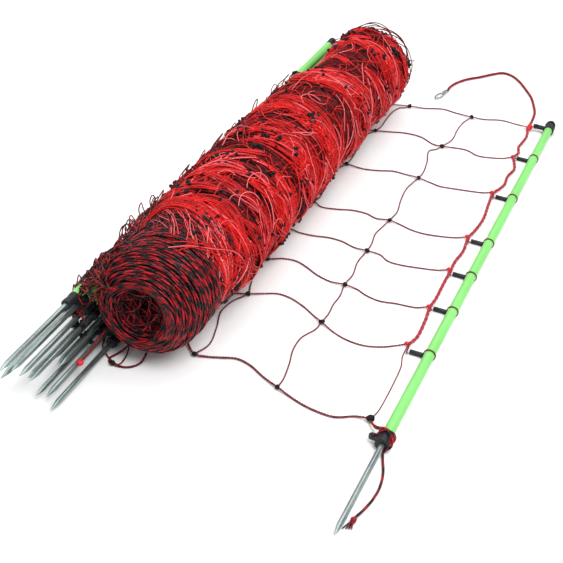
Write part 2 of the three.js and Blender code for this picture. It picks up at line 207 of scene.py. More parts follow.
# Nodes and materials
def tube_nodes(sides):
    """Geometry nodes that make each spline a tube and keep where on it a point is."""
    name = f"Twine tubes {sides}"
    if name in bpy.data.node_groups:
        return bpy.data.node_groups[name]
    tree = bpy.data.node_groups.new(name, "GeometryNodeTree")
    tree.interface.new_socket("Geometry", in_out="INPUT", socket_type="NodeSocketGeometry")
    tree.interface.new_socket("Geometry", in_out="OUTPUT", socket_type="NodeSocketGeometry")
    add = tree.nodes.new
    link = tree.links.new

    def store(source, label, kind, domain, value):
        node = add("GeometryNodeStoreNamedAttribute")
        node.data_type = kind
        node.domain = domain
        node.inputs["Name"].default_value = label
        link(source, node.inputs["Geometry"])
        link(value, node.inputs["Value"])
        return node.outputs[0]

    start = add("NodeGroupInput")
    along = store(start.outputs[0], "along", "FLOAT", "POINT",
                  add("GeometryNodeSplineParameter").outputs["Length"])
    pick = add("FunctionNodeRandomValue")
    pick.inputs["Seed"].default_value = 7
    tinted = store(along, "tint", "FLOAT", "CURVE", pick.outputs[1])
    circle = add("GeometryNodeCurvePrimitiveCircle")
    circle.inputs["Resolution"].default_value = sides
    circle.inputs["Radius"].default_value = 1
    ring = store(circle.outputs[0], "ring", "FLOAT_VECTOR", "POINT",
                 add("GeometryNodeInputPosition").outputs[0])
    tube = add("GeometryNodeCurveToMesh")
    tube.inputs["Fill Caps"].default_value = True
    link(tinted, tube.inputs["Curve"])
    link(ring, tube.inputs["Profile Curve"])
    link(add("GeometryNodeInputRadius").outputs[0], tube.inputs["Scale"])
    smooth = add("GeometryNodeSetShadeSmooth")
    link(tube.outputs[0], smooth.inputs[0])
    end = add("NodeGroupOutput")
    link(smooth.outputs[0], end.inputs[0])
    return tree


def twist_group():
    """Twisted strands: where the dark strand shows, the ridges of the twist and fine fibres, and pale
    streaks that are painted glints.
    """
    name = "Twisted strands"
    if name in bpy.data.node_groups:
        return bpy.data.node_groups[name]
    tree = bpy.data.node_groups.new(name, "ShaderNodeTree")
    for label, default in (("Pitch", 0.02), ("Dark Share", 0.4), ("Unevenness", 0.3)):
        socket = tree.interface.new_socket(label, in_out="INPUT", socket_type="NodeSocketFloat")
        socket.default_value = default
    for label in ("Dark", "Height", "Tint", "Glint"):
        tree.interface.new_socket(label, in_out="OUTPUT", socket_type="NodeSocketFloat")
    start = tree.nodes.new("NodeGroupInput")
    end = tree.nodes.new("NodeGroupOutput")
    link = tree.links.new

    def attribute(label):
        node = tree.nodes.new("ShaderNodeAttribute")
        node.attribute_name = label
        return node

    def sum_of(kind, a, b=None, c=None):
        node = tree.nodes.new("ShaderNodeMath")
        node.operation = kind
        for socket, value in zip(node.inputs, (a, b, c)):
            if value is None:
                continue
            if isinstance(value, (int, float)):
                socket.default_value = value
            else:
                link(value, socket)
        return node.outputs[0]

    along = attribute("along").outputs["Fac"]
    tint = attribute("tint").outputs["Fac"]
    split = tree.nodes.new("ShaderNodeSeparateXYZ")
    link(attribute("ring").outputs["Vector"], split.inputs[0])
    angle = sum_of("DIVIDE", sum_of("ARCTAN2", split.outputs[1], split.outputs[0]), 2 * math.pi)
    where = tree.nodes.new("ShaderNodeTexCoord").outputs["Object"]
    cloud = noise(tree.nodes, tree.links, where, 60)
    drift = sum_of("MULTIPLY", sum_of("SUBTRACT", cloud, 0.5), start.outputs["Unevenness"])
    turns = sum_of("ADD", sum_of("DIVIDE", along, start.outputs["Pitch"]), angle)
    turns = sum_of("ADD", sum_of("ADD", turns, drift), sum_of("MULTIPLY", tint, 7.31))
    wave = sum_of("FRACT", turns)
    dark = tree.nodes.new("ShaderNodeMapRange")
    dark.interpolation_type = "SMOOTHSTEP"
    middle = sum_of("ABSOLUTE", sum_of("SUBTRACT", wave, 0.5))
    limit = sum_of("MULTIPLY", start.outputs["Dark Share"], 0.5)
    link(sum_of("SUBTRACT", limit, middle), dark.inputs["Value"])
    dark.inputs["From Min"].default_value = -0.03
    dark.inputs["From Max"].default_value = 0.03
    link(dark.outputs[0], end.inputs["Dark"])
    fine = sum_of("SINE", sum_of("MULTIPLY", turns, 6 * math.pi))
    link(fine, end.inputs["Height"])
    link(tint, end.inputs["Tint"])
    # Glint: sparse noise streaks, a painted highlight off the wires in the twine
    streak = noise(tree.nodes, tree.links, where, 420)
    shine = remap(tree.nodes, tree.links, streak, From_Min=0.62, From_Max=0.72)
    link(shine, end.inputs["Glint"])
    return tree


def surface(name, colour, roughness, metallic=0.0):
    """A material with its Principled BSDF, ready for nodes that vary its colour."""
    made = bpy.data.materials.new(name)
    made.use_nodes = True
    nodes, links = made.node_tree.nodes, made.node_tree.links
    shader = nodes["Principled BSDF"]
    shader.inputs["Base Color"].default_value = (*colour, 1)
    shader.inputs["Roughness"].default_value = roughness
    shader.inputs["Metallic"].default_value = metallic
    return made, nodes, links, shader


def noise(nodes, links, where, scale, detail=2.0):
    """A noise texture at the place that where gives."""
    node = nodes.new("ShaderNodeTexNoise")
    node.inputs["Scale"].default_value = scale
    node.inputs["Detail"].default_value = detail
    links.new(where, node.inputs["Vector"])
    return node.outputs[0]


def remap(nodes, links, value, **ends):
    """A map range node; ends are its inputs, such as From_Min=0.35."""
    node = nodes.new("ShaderNodeMapRange")
    links.new(value, node.inputs["Value"])
    for label, end in ends.items():
        node.inputs[label.replace("_", " ")].default_value = end
    return node.outputs[0]


def add_bump(nodes, links, shader, height, strength, distance):
    node = nodes.new("ShaderNodeBump")
    node.inputs["Strength"].default_value = strength
    node.inputs["Distance"].default_value = distance
    links.new(height, node.inputs["Height"])
    links.new(node.outputs[0], shader.inputs["Normal"])


def mix(nodes, links, factor, first, second):
    node = nodes.new("ShaderNodeMix")
    node.data_type = "RGBA"
    for socket, value in ((node.inputs[0], factor), (node.inputs[6], first), (node.inputs[7], second)):
        if isinstance(value, (int, float)):
            socket.default_value = value
        elif isinstance(value, (tuple, list)):
            socket.default_value = (*value, 1)
        else:
            links.new(value, socket)
    return node.outputs[2]


def twine_material(name, light, deep, pitch, dark_share, glint=0.3, uneven=0.3):
    if name in bpy.data.materials:
        return bpy.data.materials[name]
    made, nodes, links, shader = surface(name, light, 0.42)
    twist = nodes.new("ShaderNodeGroup")
    twist.node_tree = twist_group()
    twist.inputs["Pitch"].default_value = pitch
    twist.inputs["Dark Share"].default_value = dark_share
    twist.inputs["Unevenness"].default_value = uneven
    body = mix(nodes, links, twist.outputs["Tint"], light, deep)
    striped = mix(nodes, links, twist.outputs["Dark"], body, tuple(colours().black))
    # Painted glint: the Glint streaks mix the colour towards a paler one, by the glint share
    pale = nodes.new("ShaderNodeMath")
    pale.operation = "MULTIPLY"
    links.new(twist.outputs["Glint"], pale.inputs[0])
    pale.inputs[1].default_value = glint
    bright = tuple(min(1.0, c * 0.6 + 0.4) for c in light)
    links.new(mix(nodes, links, pale.outputs[0], striped, bright), shader.inputs["Base Color"])
    add_bump(nodes, links, shader, twist.outputs["Height"], 0.4, 0.0004)
    shader.inputs["Specular IOR Level"].default_value = 0.22
    return made


def plastic_material(name, colour, roughness, scuff, gloss=0.5):
    """Moulded or extruded plastic with faint mottling and scuffs."""
    if name in bpy.data.materials:
        return bpy.data.materials[name]
    made, nodes, links, shader = surface(name, colour, roughness)
    where = nodes.new("ShaderNodeTexCoord").outputs["Object"]
    stretch = nodes.new("ShaderNodeMapping")
    stretch.inputs["Scale"].default_value = (60, 9, 60)
    links.new(where, stretch.inputs["Vector"])
    cloud = noise(nodes, links, stretch.outputs[0], 1.5, 5)
    spread = remap(nodes, links, cloud, From_Min=0.35, From_Max=0.75)
    shader.inputs["Specular IOR Level"].default_value = gloss
    worn = tuple(min(1.0, c * scuff) for c in colour)
    links.new(mix(nodes, links, spread, colour, worn), shader.inputs["Base Color"])
    rough = remap(nodes, links, cloud, To_Min=roughness - 0.08, To_Max=roughness + 0.12)
    links.new(rough, shader.inputs["Roughness"])
    add_bump(nodes, links, shader, noise(nodes, links, where, 900), 0.12, 0.0002)
    return made


def steel_material(name, colour, roughness, streaks):
    """Galvanised or plated steel with streaks along Y and small spangles."""
    if name in bpy.data.materials:
        return bpy.data.materials[name]
    made, nodes, links, shader = surface(name, colour, roughness, 0.9)
    where = nodes.new("ShaderNodeTexCoord").outputs["Object"]
    stretch = nodes.new("ShaderNodeMapping")
    stretch.inputs["Scale"].default_value = (500, 18, 500)
    links.new(where, stretch.inputs["Vector"])
    drawn = noise(nodes, links, stretch.outputs[0], 1, 4)
    spangle = nodes.new("ShaderNodeTexVoronoi")
    spangle.inputs["Scale"].default_value = 260
    links.new(where, spangle.inputs["Vector"])
    spread = remap(nodes, links, drawn, From_Min=0.35, From_Max=0.65)
    shaded = tuple(c * streaks for c in colour)
    base = mix(nodes, links, spread, shaded, colour)
    flecks = remap(nodes, links, spangle.outputs["Distance"], To_Max=0.35)
    pale = tuple(min(1.0, c * 1.3) for c in colour)
    links.new(mix(nodes, links, flecks, base, pale), shader.inputs["Base Color"])
    rough = remap(nodes, links, drawn, To_Min=roughness - 0.08, To_Max=roughness + 0.15)
    links.new(rough, shader.inputs["Roughness"])
    add_bump(nodes, links, shader, drawn, 0.2, 0.0002)
    return made


def net_red():
    c = colours()
    return twine_material("Red net twine", tuple(c.red), tuple(c.dark), 0.011, 0.06, 0.25)


# Painted shade: a darker copy of the roll's red twine for the lowest layer, which lies in the shade of the
# twines above
def shaded_red_twine():
    return twine_material("Shaded net twine", (0.34, 0.003, 0.006), (0.09, 0.001, 0.003),
                          0.011, 0.15, 0.1)


def barrel_twine():
    return twine_material("Red and black line", (0.44, 0.006, 0.012), (0.16, 0.002, 0.006),
                          0.024, 0.56, 0.12)


# Painted shade: a dark copy of the red twine for the loose loops at the roll's edges; the tie rope's knot
# and the slipped loop use it too
def shaded_slack_twine():
    return twine_material("Slack twine in painted shade", (0.24, 0.006, 0.012), (0.08, 0.003, 0.008),
                          0.014, 0.3, 0.2)


# Painted highlight: pale pink twine, given whole to some strands, that stands in for glints off the wires in
# the twine
def glint_twine():
    return twine_material("Twine in painted glints", (0.9, 0.2, 0.22), (0.8, 0.04, 0.05), 0.012, 0.0, 0.8)


def panel_twine():
    c = colours()
    return twine_material("Brown mauve twine", tuple(c.mauve), (0.22, 0.03, 0.045), 0.014, 0.2, 0.25)


def knot_red():
    return twine_material("Red knot", (0.62, 0.02, 0.02), (0.5, 0.01, 0.01), 0.006, 0.1, 0.4)


def knot_black():
    return plastic_material("Black knots", tuple(colours().black), 0.55, 2.0, 0.12)


def green_plastic():
    return plastic_material("Green plastic", tuple(colours().green), 0.34, 1.15, 0.4)


def black_plastic():
    return plastic_material("Black plastic", (0.01, 0.011, 0.014), 0.4, 1.9, 0.3)


def galvanised():
    return steel_material("Galvanised steel", tuple(colours().steel), 0.3, 0.3)


# Pieces
def finish_piece(piece, material, replaced=()):
    piece.data.materials.clear()
    piece.data.materials.append(material)
    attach(piece, "root")
    if replaced:
        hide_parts(*replaced)
    return piece


def twine_piece(name, runs, sides, material, replaced=(), cyclic=False):
    """One mesh of tubes along the runs, each a list of points and a radius."""
    curve = bpy.data.curves.new(name, "CURVE")
    curve.dimensions = "3D"
    for points, radius in runs:
        spline = curve.splines.new("POLY")
        spline.points.add(len(points) - 1)
        corners = np.ones((len(points), 4))
        corners[:, :3] = points
        spline.points.foreach_set("co", corners.ravel())
        spline.points.foreach_set("radius", np.full(len(points), radius))
        spline.use_cyclic_u = cyclic
    piece = bpy.data.objects.new(name, curve)
    bpy.context.scene.collection.objects.link(piece)
    tubes = piece.modifiers.new("tubes", "NODES")
    tubes.node_group = tube_nodes(sides)
    bpy.ops.object.select_all(action="DESELECT")
    piece.select_set(True)
    bpy.context.view_layer.objects.active = piece
    bpy.ops.object.convert(target="MESH")
    return finish_piece(bpy.context.view_layer.objects.active, material, replaced)


def mesh_piece(name, bm, material, replaced=(), angle=40):
    bmesh.ops.recalc_face_normals(bm, faces=bm.faces)
    mesh = bpy.data.meshes.new(name)
    bm.to_mesh(mesh)
    bm.free()
    mesh.shade_smooth()
    mesh.set_sharp_from_angle(angle=math.radians(angle))
    piece = bpy.data.objects.new(name, mesh)
    bpy.context.scene.collection.objects.link(piece)
    return finish_piece(piece, material, replaced)


def spin_shape(bm, profile, centre, steps=24, closed=False):
    """Spins a profile of (radius, along) in mm about a line along Y through centre."""
    verts = [bm.verts.new((radius * MM, along * MM, 0)) for radius, along in profile]
    pairs = list(zip(verts, verts[1:])) + ([(verts[-1], verts[0])] if closed else [])
    edges = [bm.edges.new(pair) for pair in pairs]
    turned = bmesh.ops.spin(
        bm, geom=verts + edges, cent=(0, 0, 0), axis=(0, 1, 0),
        angle=2 * math.pi, steps=steps, use_merge=True)
    made = set(verts)
    for face in [f for f in bm.faces if not f.tag]:
        face.tag = True
        made.update(face.verts)
    bmesh.ops.remove_doubles(bm, verts=list(made), dist=1e-6)
    kept = [v for v in made if v.is_valid]
    bmesh.ops.translate(bm, verts=kept, vec=Vector(centre))
    return kept


def knot_lump(bm, centre, radius, rng, squash=0.8, detail=1):
    made = bmesh.ops.create_icosphere(bm, subdivisions=detail, radius=radius)["verts"]
    stretch = Vector((1 + rng.uniform(-0.2, 0.25), 1 + rng.uniform(-0.2, 0.25), squash))
    bmesh.ops.scale(bm, vec=stretch, verts=made)
    turn = Matrix.Rotation(rng.uniform(0, math.pi), 3, "Z")
    turn = turn @ Matrix.Rotation(rng.uniform(-0.6, 0.6), 3, "X")
    bmesh.ops.rotate(bm, cent=(0, 0, 0), matrix=turn, verts=made)
    for vert in made:
        vert.co *= 1 + rng.uniform(-0.14, 0.14)
    bmesh.ops.translate(bm, verts=made, vec=Vector(centre))
    return made


# Outline of the roll
def roll_radius(y):
    """Radius of the wound net in mm at a height y."""
    marks = [(25, 69), (60, 70), (96, 66.5), (128, 72)]
    for band in BANDS:
        marks += [(band - 22, 75.5), (band - 10, 79), (band + 10, 79), (band + 22, 75.5)]
    marks.sort()
    radius = np.interp(y, [m[0] for m in marks], [m[1] for m in marks])
    near = np.clip((25 - np.asarray(y, float)) / (25 - NEAR_RIM), 0, 1)
    far = np.clip((np.asarray(y, float) - 819) / (FAR_RIM - 819), 0, 1)
    radius = np.where(near > 0, 44 + 25 * np.sqrt(1 - near ** 2), radius)
    return np.where(far > 0, 44 + 31 * np.sqrt(1 - far ** 2), radius)


def bundle_reach():
    """How far the posts push the net out from the roll's axis, by angle."""
    points = []
    for tag in BUNDLE:
        low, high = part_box(f"bundle_foot_{tag}")
        x = ((low.x + high.x) / 2 - SHIFT.x) / MM - ROLL_X
        z = (low.z + high.z) / 2 / MM - ROLL_Z
        for turn in np.linspace(0, 2 * math.pi, 16, endpoint=False):
            points.append(Vector((x + POST_REACH * math.cos(turn), z + POST_REACH * math.sin(turn))))
    for turn in np.linspace(0, 2 * math.pi, 90, endpoint=False):
        points.append(Vector((HULL_RADIUS * math.cos(turn), HULL_RADIUS * math.sin(turn))))
    hull = [points[i] for i in convex_hull_2d(points)]
    reach = []
    for angle in np.radians(np.arange(0, 360, 2)):
        ray = Vector((math.cos(angle), math.sin(angle)))
        best = HULL_RADIUS
        for a, b in zip(hull, hull[1:] + hull[:1]):
            edge = b - a
            cross = ray.x * edge.y - ray.y * edge.x
            if abs(cross) < 1e-9:
                continue
            t = (a.x * edge.y - a.y * edge.x) / cross
            s = (a.x * ray.y - a.y * ray.x) / cross
            if t > 0 and -1e-6 <= s <= 1 + 1e-6:
                best = max(best, t)
        reach.append(best)
    return np.array(reach + reach[:1])


REACH = bundle_reach()
REACH_ANGLES = np.arange(0, 361, 2)


def on_roll(angle, y, lift=0.0, over_feet=False):
    """A place on the wound net: angle in degrees from +X up over the top, y and lift in mm.

    With over_feet the net lies over the posts right down to their feet."""
    angle, y = np.asarray(angle, float), np.asarray(y, float)
    turned = np.mod(angle, 360)
    base = roll_radius(y)
    start = -60 if over_feet else 75
    drape = np.clip((y - start) / 45, 0, 1) * np.clip((872 - y) / 30, 0, 1)
    bare = np.clip((y - 575) / 50, 0, 1)
    drape = np.where(turned < 196, drape * (1 - bare), drape)
    posts = np.interp(turned, REACH_ANGLES, REACH)
    radius = np.maximum(base, base + (posts - HULL_RADIUS) * drape)
    hollow = bare * np.clip(1.25 - np.abs(turned - 152) / 50, 0, 1)
    crown = np.clip((y - 735) / 110, 0, 1) * np.clip(1.3 - np.abs(turned - 95) / 70, 0, 1)
    radius = radius - np.maximum(21 * hollow, 15 * crown) + lift
    x = ROLL_X + radius * np.cos(np.radians(angle))
    z = np.maximum(ROLL_Z + radius * np.sin(np.radians(angle)), TWINE_ON_FLOOR)
    return np.stack([x * MM + SHIFT.x, y * MM + SHIFT.y, z * MM], -1)


def wound_run(angles, heights, lifts, step=9, over_feet=False):
    """A run of points on the roll, rounded through a few marks of angle, y and lift."""
    flat = np.stack([np.radians(angles) * LAID_RADIUS, heights, np.broadcast_to(lifts, np.shape(angles))], 1)
    flat = smooth_path(flat, step)
    return on_roll(np.degrees(flat[:, 0] / LAID_RADIUS), flat[:, 1], flat[:, 2], over_feet)


def sheaf(rng, angle, y, span, lean, count, gap, lift):
    """Near-parallel twines side by side, closer together at both ends."""
    marks = np.linspace(0, 1, 6)
    shared = rng.uniform(2, 7) * np.sin(2 * math.pi * (rng.uniform(0.5, 1.1) * marks + rng.random()))
    runs = []
    for place_in_row in np.arange(count) - (count - 1) / 2:
        spread = gap * (0.35 + 0.65 * np.sin(math.pi * marks))
        angles = angle + span * (marks + rng.uniform(-0.06, 0.06)) + rng.normal(0, 0.8, 6)
        heights = y + lean * (marks - 0.5) + shared + place_in_row * spread + rng.normal(0, 0.9, 6)
        runs.append(wound_run(angles, heights, lift + rng.normal(0, 0.7, 6)))
    return runs


def curl(rng, angle, y, length, bend, lift, over_feet=False):
    """A slack twine that curls about on the roll."""
    count = max(5, int(length / CURL_STEP))
    turning = rng.normal(0, bend) + np.cumsum(rng.normal(0, bend * 0.35, count))
    heading = rng.uniform(0, 2 * math.pi) + np.cumsum(turning)
    across = np.cumsum(np.cos(heading)) * CURL_STEP
    along = np.cumsum(np.sin(heading)) * CURL_STEP
    rise = lift * np.sin(np.linspace(0, math.pi, count))
    return on_roll(angle + np.degrees(across / LAID_RADIUS), np.clip(y + along, -22, 866), rise, over_feet)


# Operators
class Build(bpy.types.Operator):
    """Shared ground of the operators that build a piece"""

    bl_options = {"REGISTER", "UNDO"}

    def execute(self, context):
        self.build()
        return {"FINISHED"}


class NETTING_OT_camera(Build):
    """Places the camera at the photo's viewing angle"""

    bl_idname = "netting.camera"
    bl_label = "Camera"

    def build(self):
        lens = bpy.data.cameras.new("camera")
        lens.sensor_width = SENSOR
        lens.lens = FOCAL_PX / PHOTO_PX * SENSOR
        lens.clip_start = 0.05
        camera = bpy.data.objects.new("camera", lens)
        bpy.context.scene.collection.objects.link(camera)
        spot = Vector(place(*CAMERA_PLACE))
        aim = Vector(place(*CAMERA_AIM)) - spot
        turn = aim.to_track_quat("-Z", "Y") @ Quaternion((0, 0, 1), CAMERA_ROLL)
        camera.matrix_world = Matrix.Translation(spot) @ turn.to_matrix().to_4x4()
        bpy.context.scene.camera = camera


LEAD = [(-35.5, 885.3, 5.6), (-36, 908), (-39, 947), (-47, 975), (-60, 1009), (-76, 1036),
        (-98, 1068), (-116, 1084), (-132, 1087), (-147, 1073), (-168, 1045), (-188, 1021),
        (-202, 991), (-206, 968), (-205.5, 957), (-207, 950)]
TIE = [(4, -24.6, 3), (4.3, -29.6, 2.6), (8, -40), (13, -53), (17, -68), (19, -85),
       (18, -105), (14, -125), (10, -141.5, 4)]
BUNDLE_TIE = [(-377, -6, 33.8), (-379, -20, 28), (-380, -36, 24), (-380.3, -50, 22),
              (-380.3, -59.5, 21.6)]
LOOP = [(-352, 12, 10), (-356, 2, 4.8), (-362, -8), (-365, -17), (-362, -24), (-356, -27, 3.5),
        (-342, -26), (-332, -20), (-326, -8), (-326, 8, 6.5)]


class NETTING_OT_ropes(Build):
    """Lead rope with its snap, tie rope, short tie and the slipped loop"""

    bl_idname = "netting.ropes"
    bl_label = "Ropes"

    def rope(self, name, points, diameter, pitch, material, slot, node, end, pieces):
        line = smooth_path(points, 0.004)
        runs = plies(points, diameter, pitch, 3 if diameter > 0.003 else 2, 0.0016)
        rope = twine_piece(name, runs, 7, material, (node,))
        return rope

    def build(self):
        size = sizes()
        rng = np.random.default_rng(3)
        crimson = twine_material("Crimson rope", (0.34, 0.01, 0.02), (0.2, 0.006, 0.012), 0.02, 0.1, 0.25)
        snap = self.snap()
        self.rope("lead_rope_twisted", places(LEAD, 2.65), size.lead, 0.014, crimson,
                  "red_twine", "lead_rope", "connector", [snap])
        knot = bmesh.new()
        knot_lump(knot, place(10, -146, 4.6), 0.0044, rng, 0.9, 2)
        knot_lump(knot, place(9, -149, 3.4), 0.0028, rng, 0.9, 1)
        tie_knot = mesh_piece("tie_rope_knot", knot, shaded_slack_twine(), ("tie_knot",))
        tails = []
        for turn in (-0.5, -0.2, 0.05, 0.3):
            tails.append((smooth_path([place(9.5, -147, 4), place(9 + 6 * turn, -152, 3),
                                       place(8.5 + 12 * turn, -158 + 4 * turn, 1.6)], 0.002), 0.0009))
        tail = twine_piece("tie_rope_tail", tails, 5, barrel_twine())
        self.rope("tie_rope_twisted", places(TIE, 2.05), size.tie, 0.011, barrel_twine(),
                  "dark_twine", "tie_rope", "knot", [tie_knot, tail])
        knot = bmesh.new()
        knot_lump(knot, place(-380.3, -64, 21.8), 0.0042, rng, 0.95, 2)
        short_knot = mesh_piece("bundle_tie_stopper", knot, knot_red(),
                                ("bundle_tie_knot",))
        self.rope("bundle_tie_twisted", places(BUNDLE_TIE, 1.8), 0.003, 0.01, crimson,
                  "red_twine", "bundle_tie", "knot", [short_knot])
        self.rope("net_loop_twisted", places(LOOP, 1.85), 0.0032, 0.013, shaded_slack_twine(),
                  "dark_twine", "net_loop", "object", [])
        knot = bmesh.new()
        knot_lump(knot, place(-356, -27, 4.2), 0.0038, rng, 0.9, 2)
        mesh_piece("net_loop_knot", knot, knot_black())

    def snap(self):
        """An oval spring snap of round wire with a ferrule crimped on the rope's end."""
        turn = Matrix.Rotation(-0.21, 3, "Z")
        start = Vector(place(-207, 949.7, 3.6))

        def put(points):
            return np.array([start + turn @ Vector(p) for p in points])

        outline = []
        for angle in np.linspace(0, 2 * math.pi, 40, endpoint=False):
            x = 0.0052 * math.cos(angle)
            y = -0.0245 + 0.0135 * math.sin(angle)
            outline.append((x, y, 0))
        wire = [(put(outline), 0.0014)]
        snap = twine_piece("lead_snap", wire, 10, steel_material(
            "Bright steel", (0.5, 0.53, 0.54), 0.22, 0.25), ("lead_connector",), True)
        bm = bmesh.new()
        profile = [(0, 0), (3.2, 0), (3.6, -0.5), (3.6, -3), (3.2, -3.6), (3.6, -4.2),
                   (3.6, -9.6), (2.6, -11), (0, -11)]
        made = spin_shape(bm, profile, (0, 0, 0), 20)
        bmesh.ops.rotate(bm, cent=(0, 0, 0), matrix=turn, verts=made)
        bmesh.ops.translate(bm, verts=made, vec=start)
        ferrule = mesh_piece("lead_ferrule", bm, bpy.data.materials["Bright steel"])
        ferrule.parent = snap
        return snap


class NETTING_OT_end_post(Build):
    """Green end post with its cap, foot fitting and spike"""

    bl_idname = "netting.end_post"
    bl_label = "End Post"

    def build(self):
        centre = (SHIFT.x, SHIFT.y, POST_Z * MM)
        bm = bmesh.new()
        spin_shape(bm, [(3.9, -2), (6.4, -2), (TUBE, -1.6), (TUBE, 895.5), (0, 895.5)], centre, 40)
        mesh_piece("end_tube", bm, green_plastic(), ("end_post_tube",))
        bm = bmesh.new()
        tip = [(0, -180), (0.7, -179), (3.3, -166), (SPIKE, -163), (SPIKE, SPIKE_TOP)]
        spin_shape(bm, tip, centre, 28)
        mesh_piece("end_spike", bm, galvanised(), ("end_post_spike",), 30)
        self.foot(centre)
        self.cap(centre)

    def foot(self, centre):
        bm = bmesh.new()
        profile = [(3.9, -24.3), (8.3, -24.3), (9.1, -23.4), (9.1, -18.2), (8.4, -17.6), (8.4, -9.4),
                   (9.1, -8.8), (9.1, -3.1), (8.4, -2.3), (3.9, -2.3)]
        spin_shape(bm, profile, centre, 40, True)
        self.lug(bm, 20, 9, 4, -13, centre, 4.6)
        mesh_piece("end_foot", bm, black_plastic(), ("end_post_foot",), 35)
        wraps = []
        for start, lean, reach in ((-4.5, 3, 10.4), (-8, -3, 10.9)):
            points = []
            for turn in np.linspace(0, 2 * math.pi, 37):
                z = max(POST_Z + reach * math.sin(turn), 1.7)
                points.append(place(reach * math.cos(turn), start + lean * math.sin(turn + reach), z))
            wraps.append((np.array(points), 0.0012))
        for shift in (-1.3, 1.3):
            over = [(-29, 20, 5.6), (-25, 13, 6), (-17, 5 + shift, 8), (-11, shift, 13),
                    (-5 + shift, -4, 19), (3 + shift, -9, 20.6), (9 + shift, -16, 16),
                    (9.4 + shift, -22, 9), (4, -26.5 + shift, 3.4)]
            wraps.append((smooth_path(places(over, 0), 0.002), 0.0014))
        twine_piece("foot_wraps", wraps, 6, barrel_twine())

    def lug(self, bm, reach, width, thick, along, centre, eye):
        made = bmesh.ops.create_cube(bm, size=1)["verts"]
        inner = 7.4
        bmesh.ops.scale(bm, vec=Vector(((reach - eye - inner) * MM, width * MM, thick * MM)), verts=made)
        middle = Vector((-(reach - eye + inner) / 2 * MM, along * MM, 0)) + Vector(centre)
        bmesh.ops.translate(bm, verts=made, vec=middle)
        rim = bmesh.ops.create_circle(bm, cap_ends=False, radius=2 * MM, segments=20)["verts"]
        outer = bmesh.ops.create_circle(bm, cap_ends=False, radius=eye * MM, segments=20)["verts"]
        edges = list({e for v in rim + outer for e in v.link_edges})
        ring = bmesh.ops.bridge_loops(bm, edges=edges)["faces"]
        deep = bmesh.ops.extrude_face_region(bm, geom=ring)["geom"]
        raised = [g for g in deep if isinstance(g, bmesh.types.BMVert)]
        bmesh.ops.translate(bm, verts=raised, vec=(0, 0, thick * MM))
        shape = Vector((-(reach - eye) * MM, along * MM, -thick / 2 * MM)) + Vector(centre)
        bmesh.ops.translate(bm, verts=rim + outer + raised, vec=shape)

    def cap(self, centre):
        bm = bmesh.new()
        profile = [(6.9, 876), (8.6, 876), (9.1, 876.6), (9.1, 881), (8.4, 881.6), (8.4, 883.4),
                   (9.1, 884), (9.1, 890), (8.4, 891), (7.6, 897), (6.2, 899.4), (0, 900)]
        spin_shape(bm, profile, centre, 40)
        self.lug(bm, 28, 7, 5, 883, centre, 4.6)
        mesh_piece("end_cap", bm, black_plastic(), ("end_post_cap",), 35)
        ear = [place(7.6 * math.cos(turn), 889 + 10 * math.sin(turn),
                     POST_Z + 3.5 + 4.5 * math.sin(turn)) for turn in np.linspace(0, math.pi, 15)]
        twine_piece("end_cap_ear", [(np.array(ear), 0.0015)], 8, black_plastic())


class NETTING_OT_clips(Build):
    """Six wire rings round the end post with black sleeves on the net's lines"""

    bl_idname = "netting.clips"
    bl_label = "Clips"

    def build(self):
        wire = plastic_material("Brown wire", (0.09, 0.03, 0.015), 0.4, 1.6)
        sleeves = bmesh.new()
        runs = []
        for count in range(1, 7):
            low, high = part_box(f"clip_{count}")
            ring_y = high.y / MM - SHIFT.y / MM - 0.9
            sleeve_y = ring_y + (2.5 if count < 6 else -1)
            for turn_index in range(2):
                points = []
                for angle in np.linspace(0, 2 * math.pi, 28, endpoint=False):
                    x = 7.9 * math.cos(angle)
                    y = ring_y + 0.9 * (turn_index - 0.5) * 1.1
                    points.append(place(x, y, POST_Z + 7.9 * math.sin(angle)))
                runs.append((np.array(points), 0.0007))
            left = low.x / MM - SHIFT.x / MM
            made = spin_shape(sleeves, [(1.6, 0), (3.0, 0), (3.3, 0.4), (3.3, 19.6), (3.0, 20), (0, 20)],
                              (0, 0, 0), 20)
            across = Matrix.Rotation(-math.pi / 2, 3, "Z")
            bmesh.ops.rotate(sleeves, cent=(0, 0, 0), matrix=across, verts=made)
            bmesh.ops.translate(sleeves, verts=made, vec=Vector(place(left, sleeve_y, 3.55)))
        twine_piece("clip_rings", runs, 8, wire, cyclic=True)
        mesh_piece("clip_sleeves", sleeves, black_plastic(),
                   [f"clip_{count}" for count in range(1, 7)])


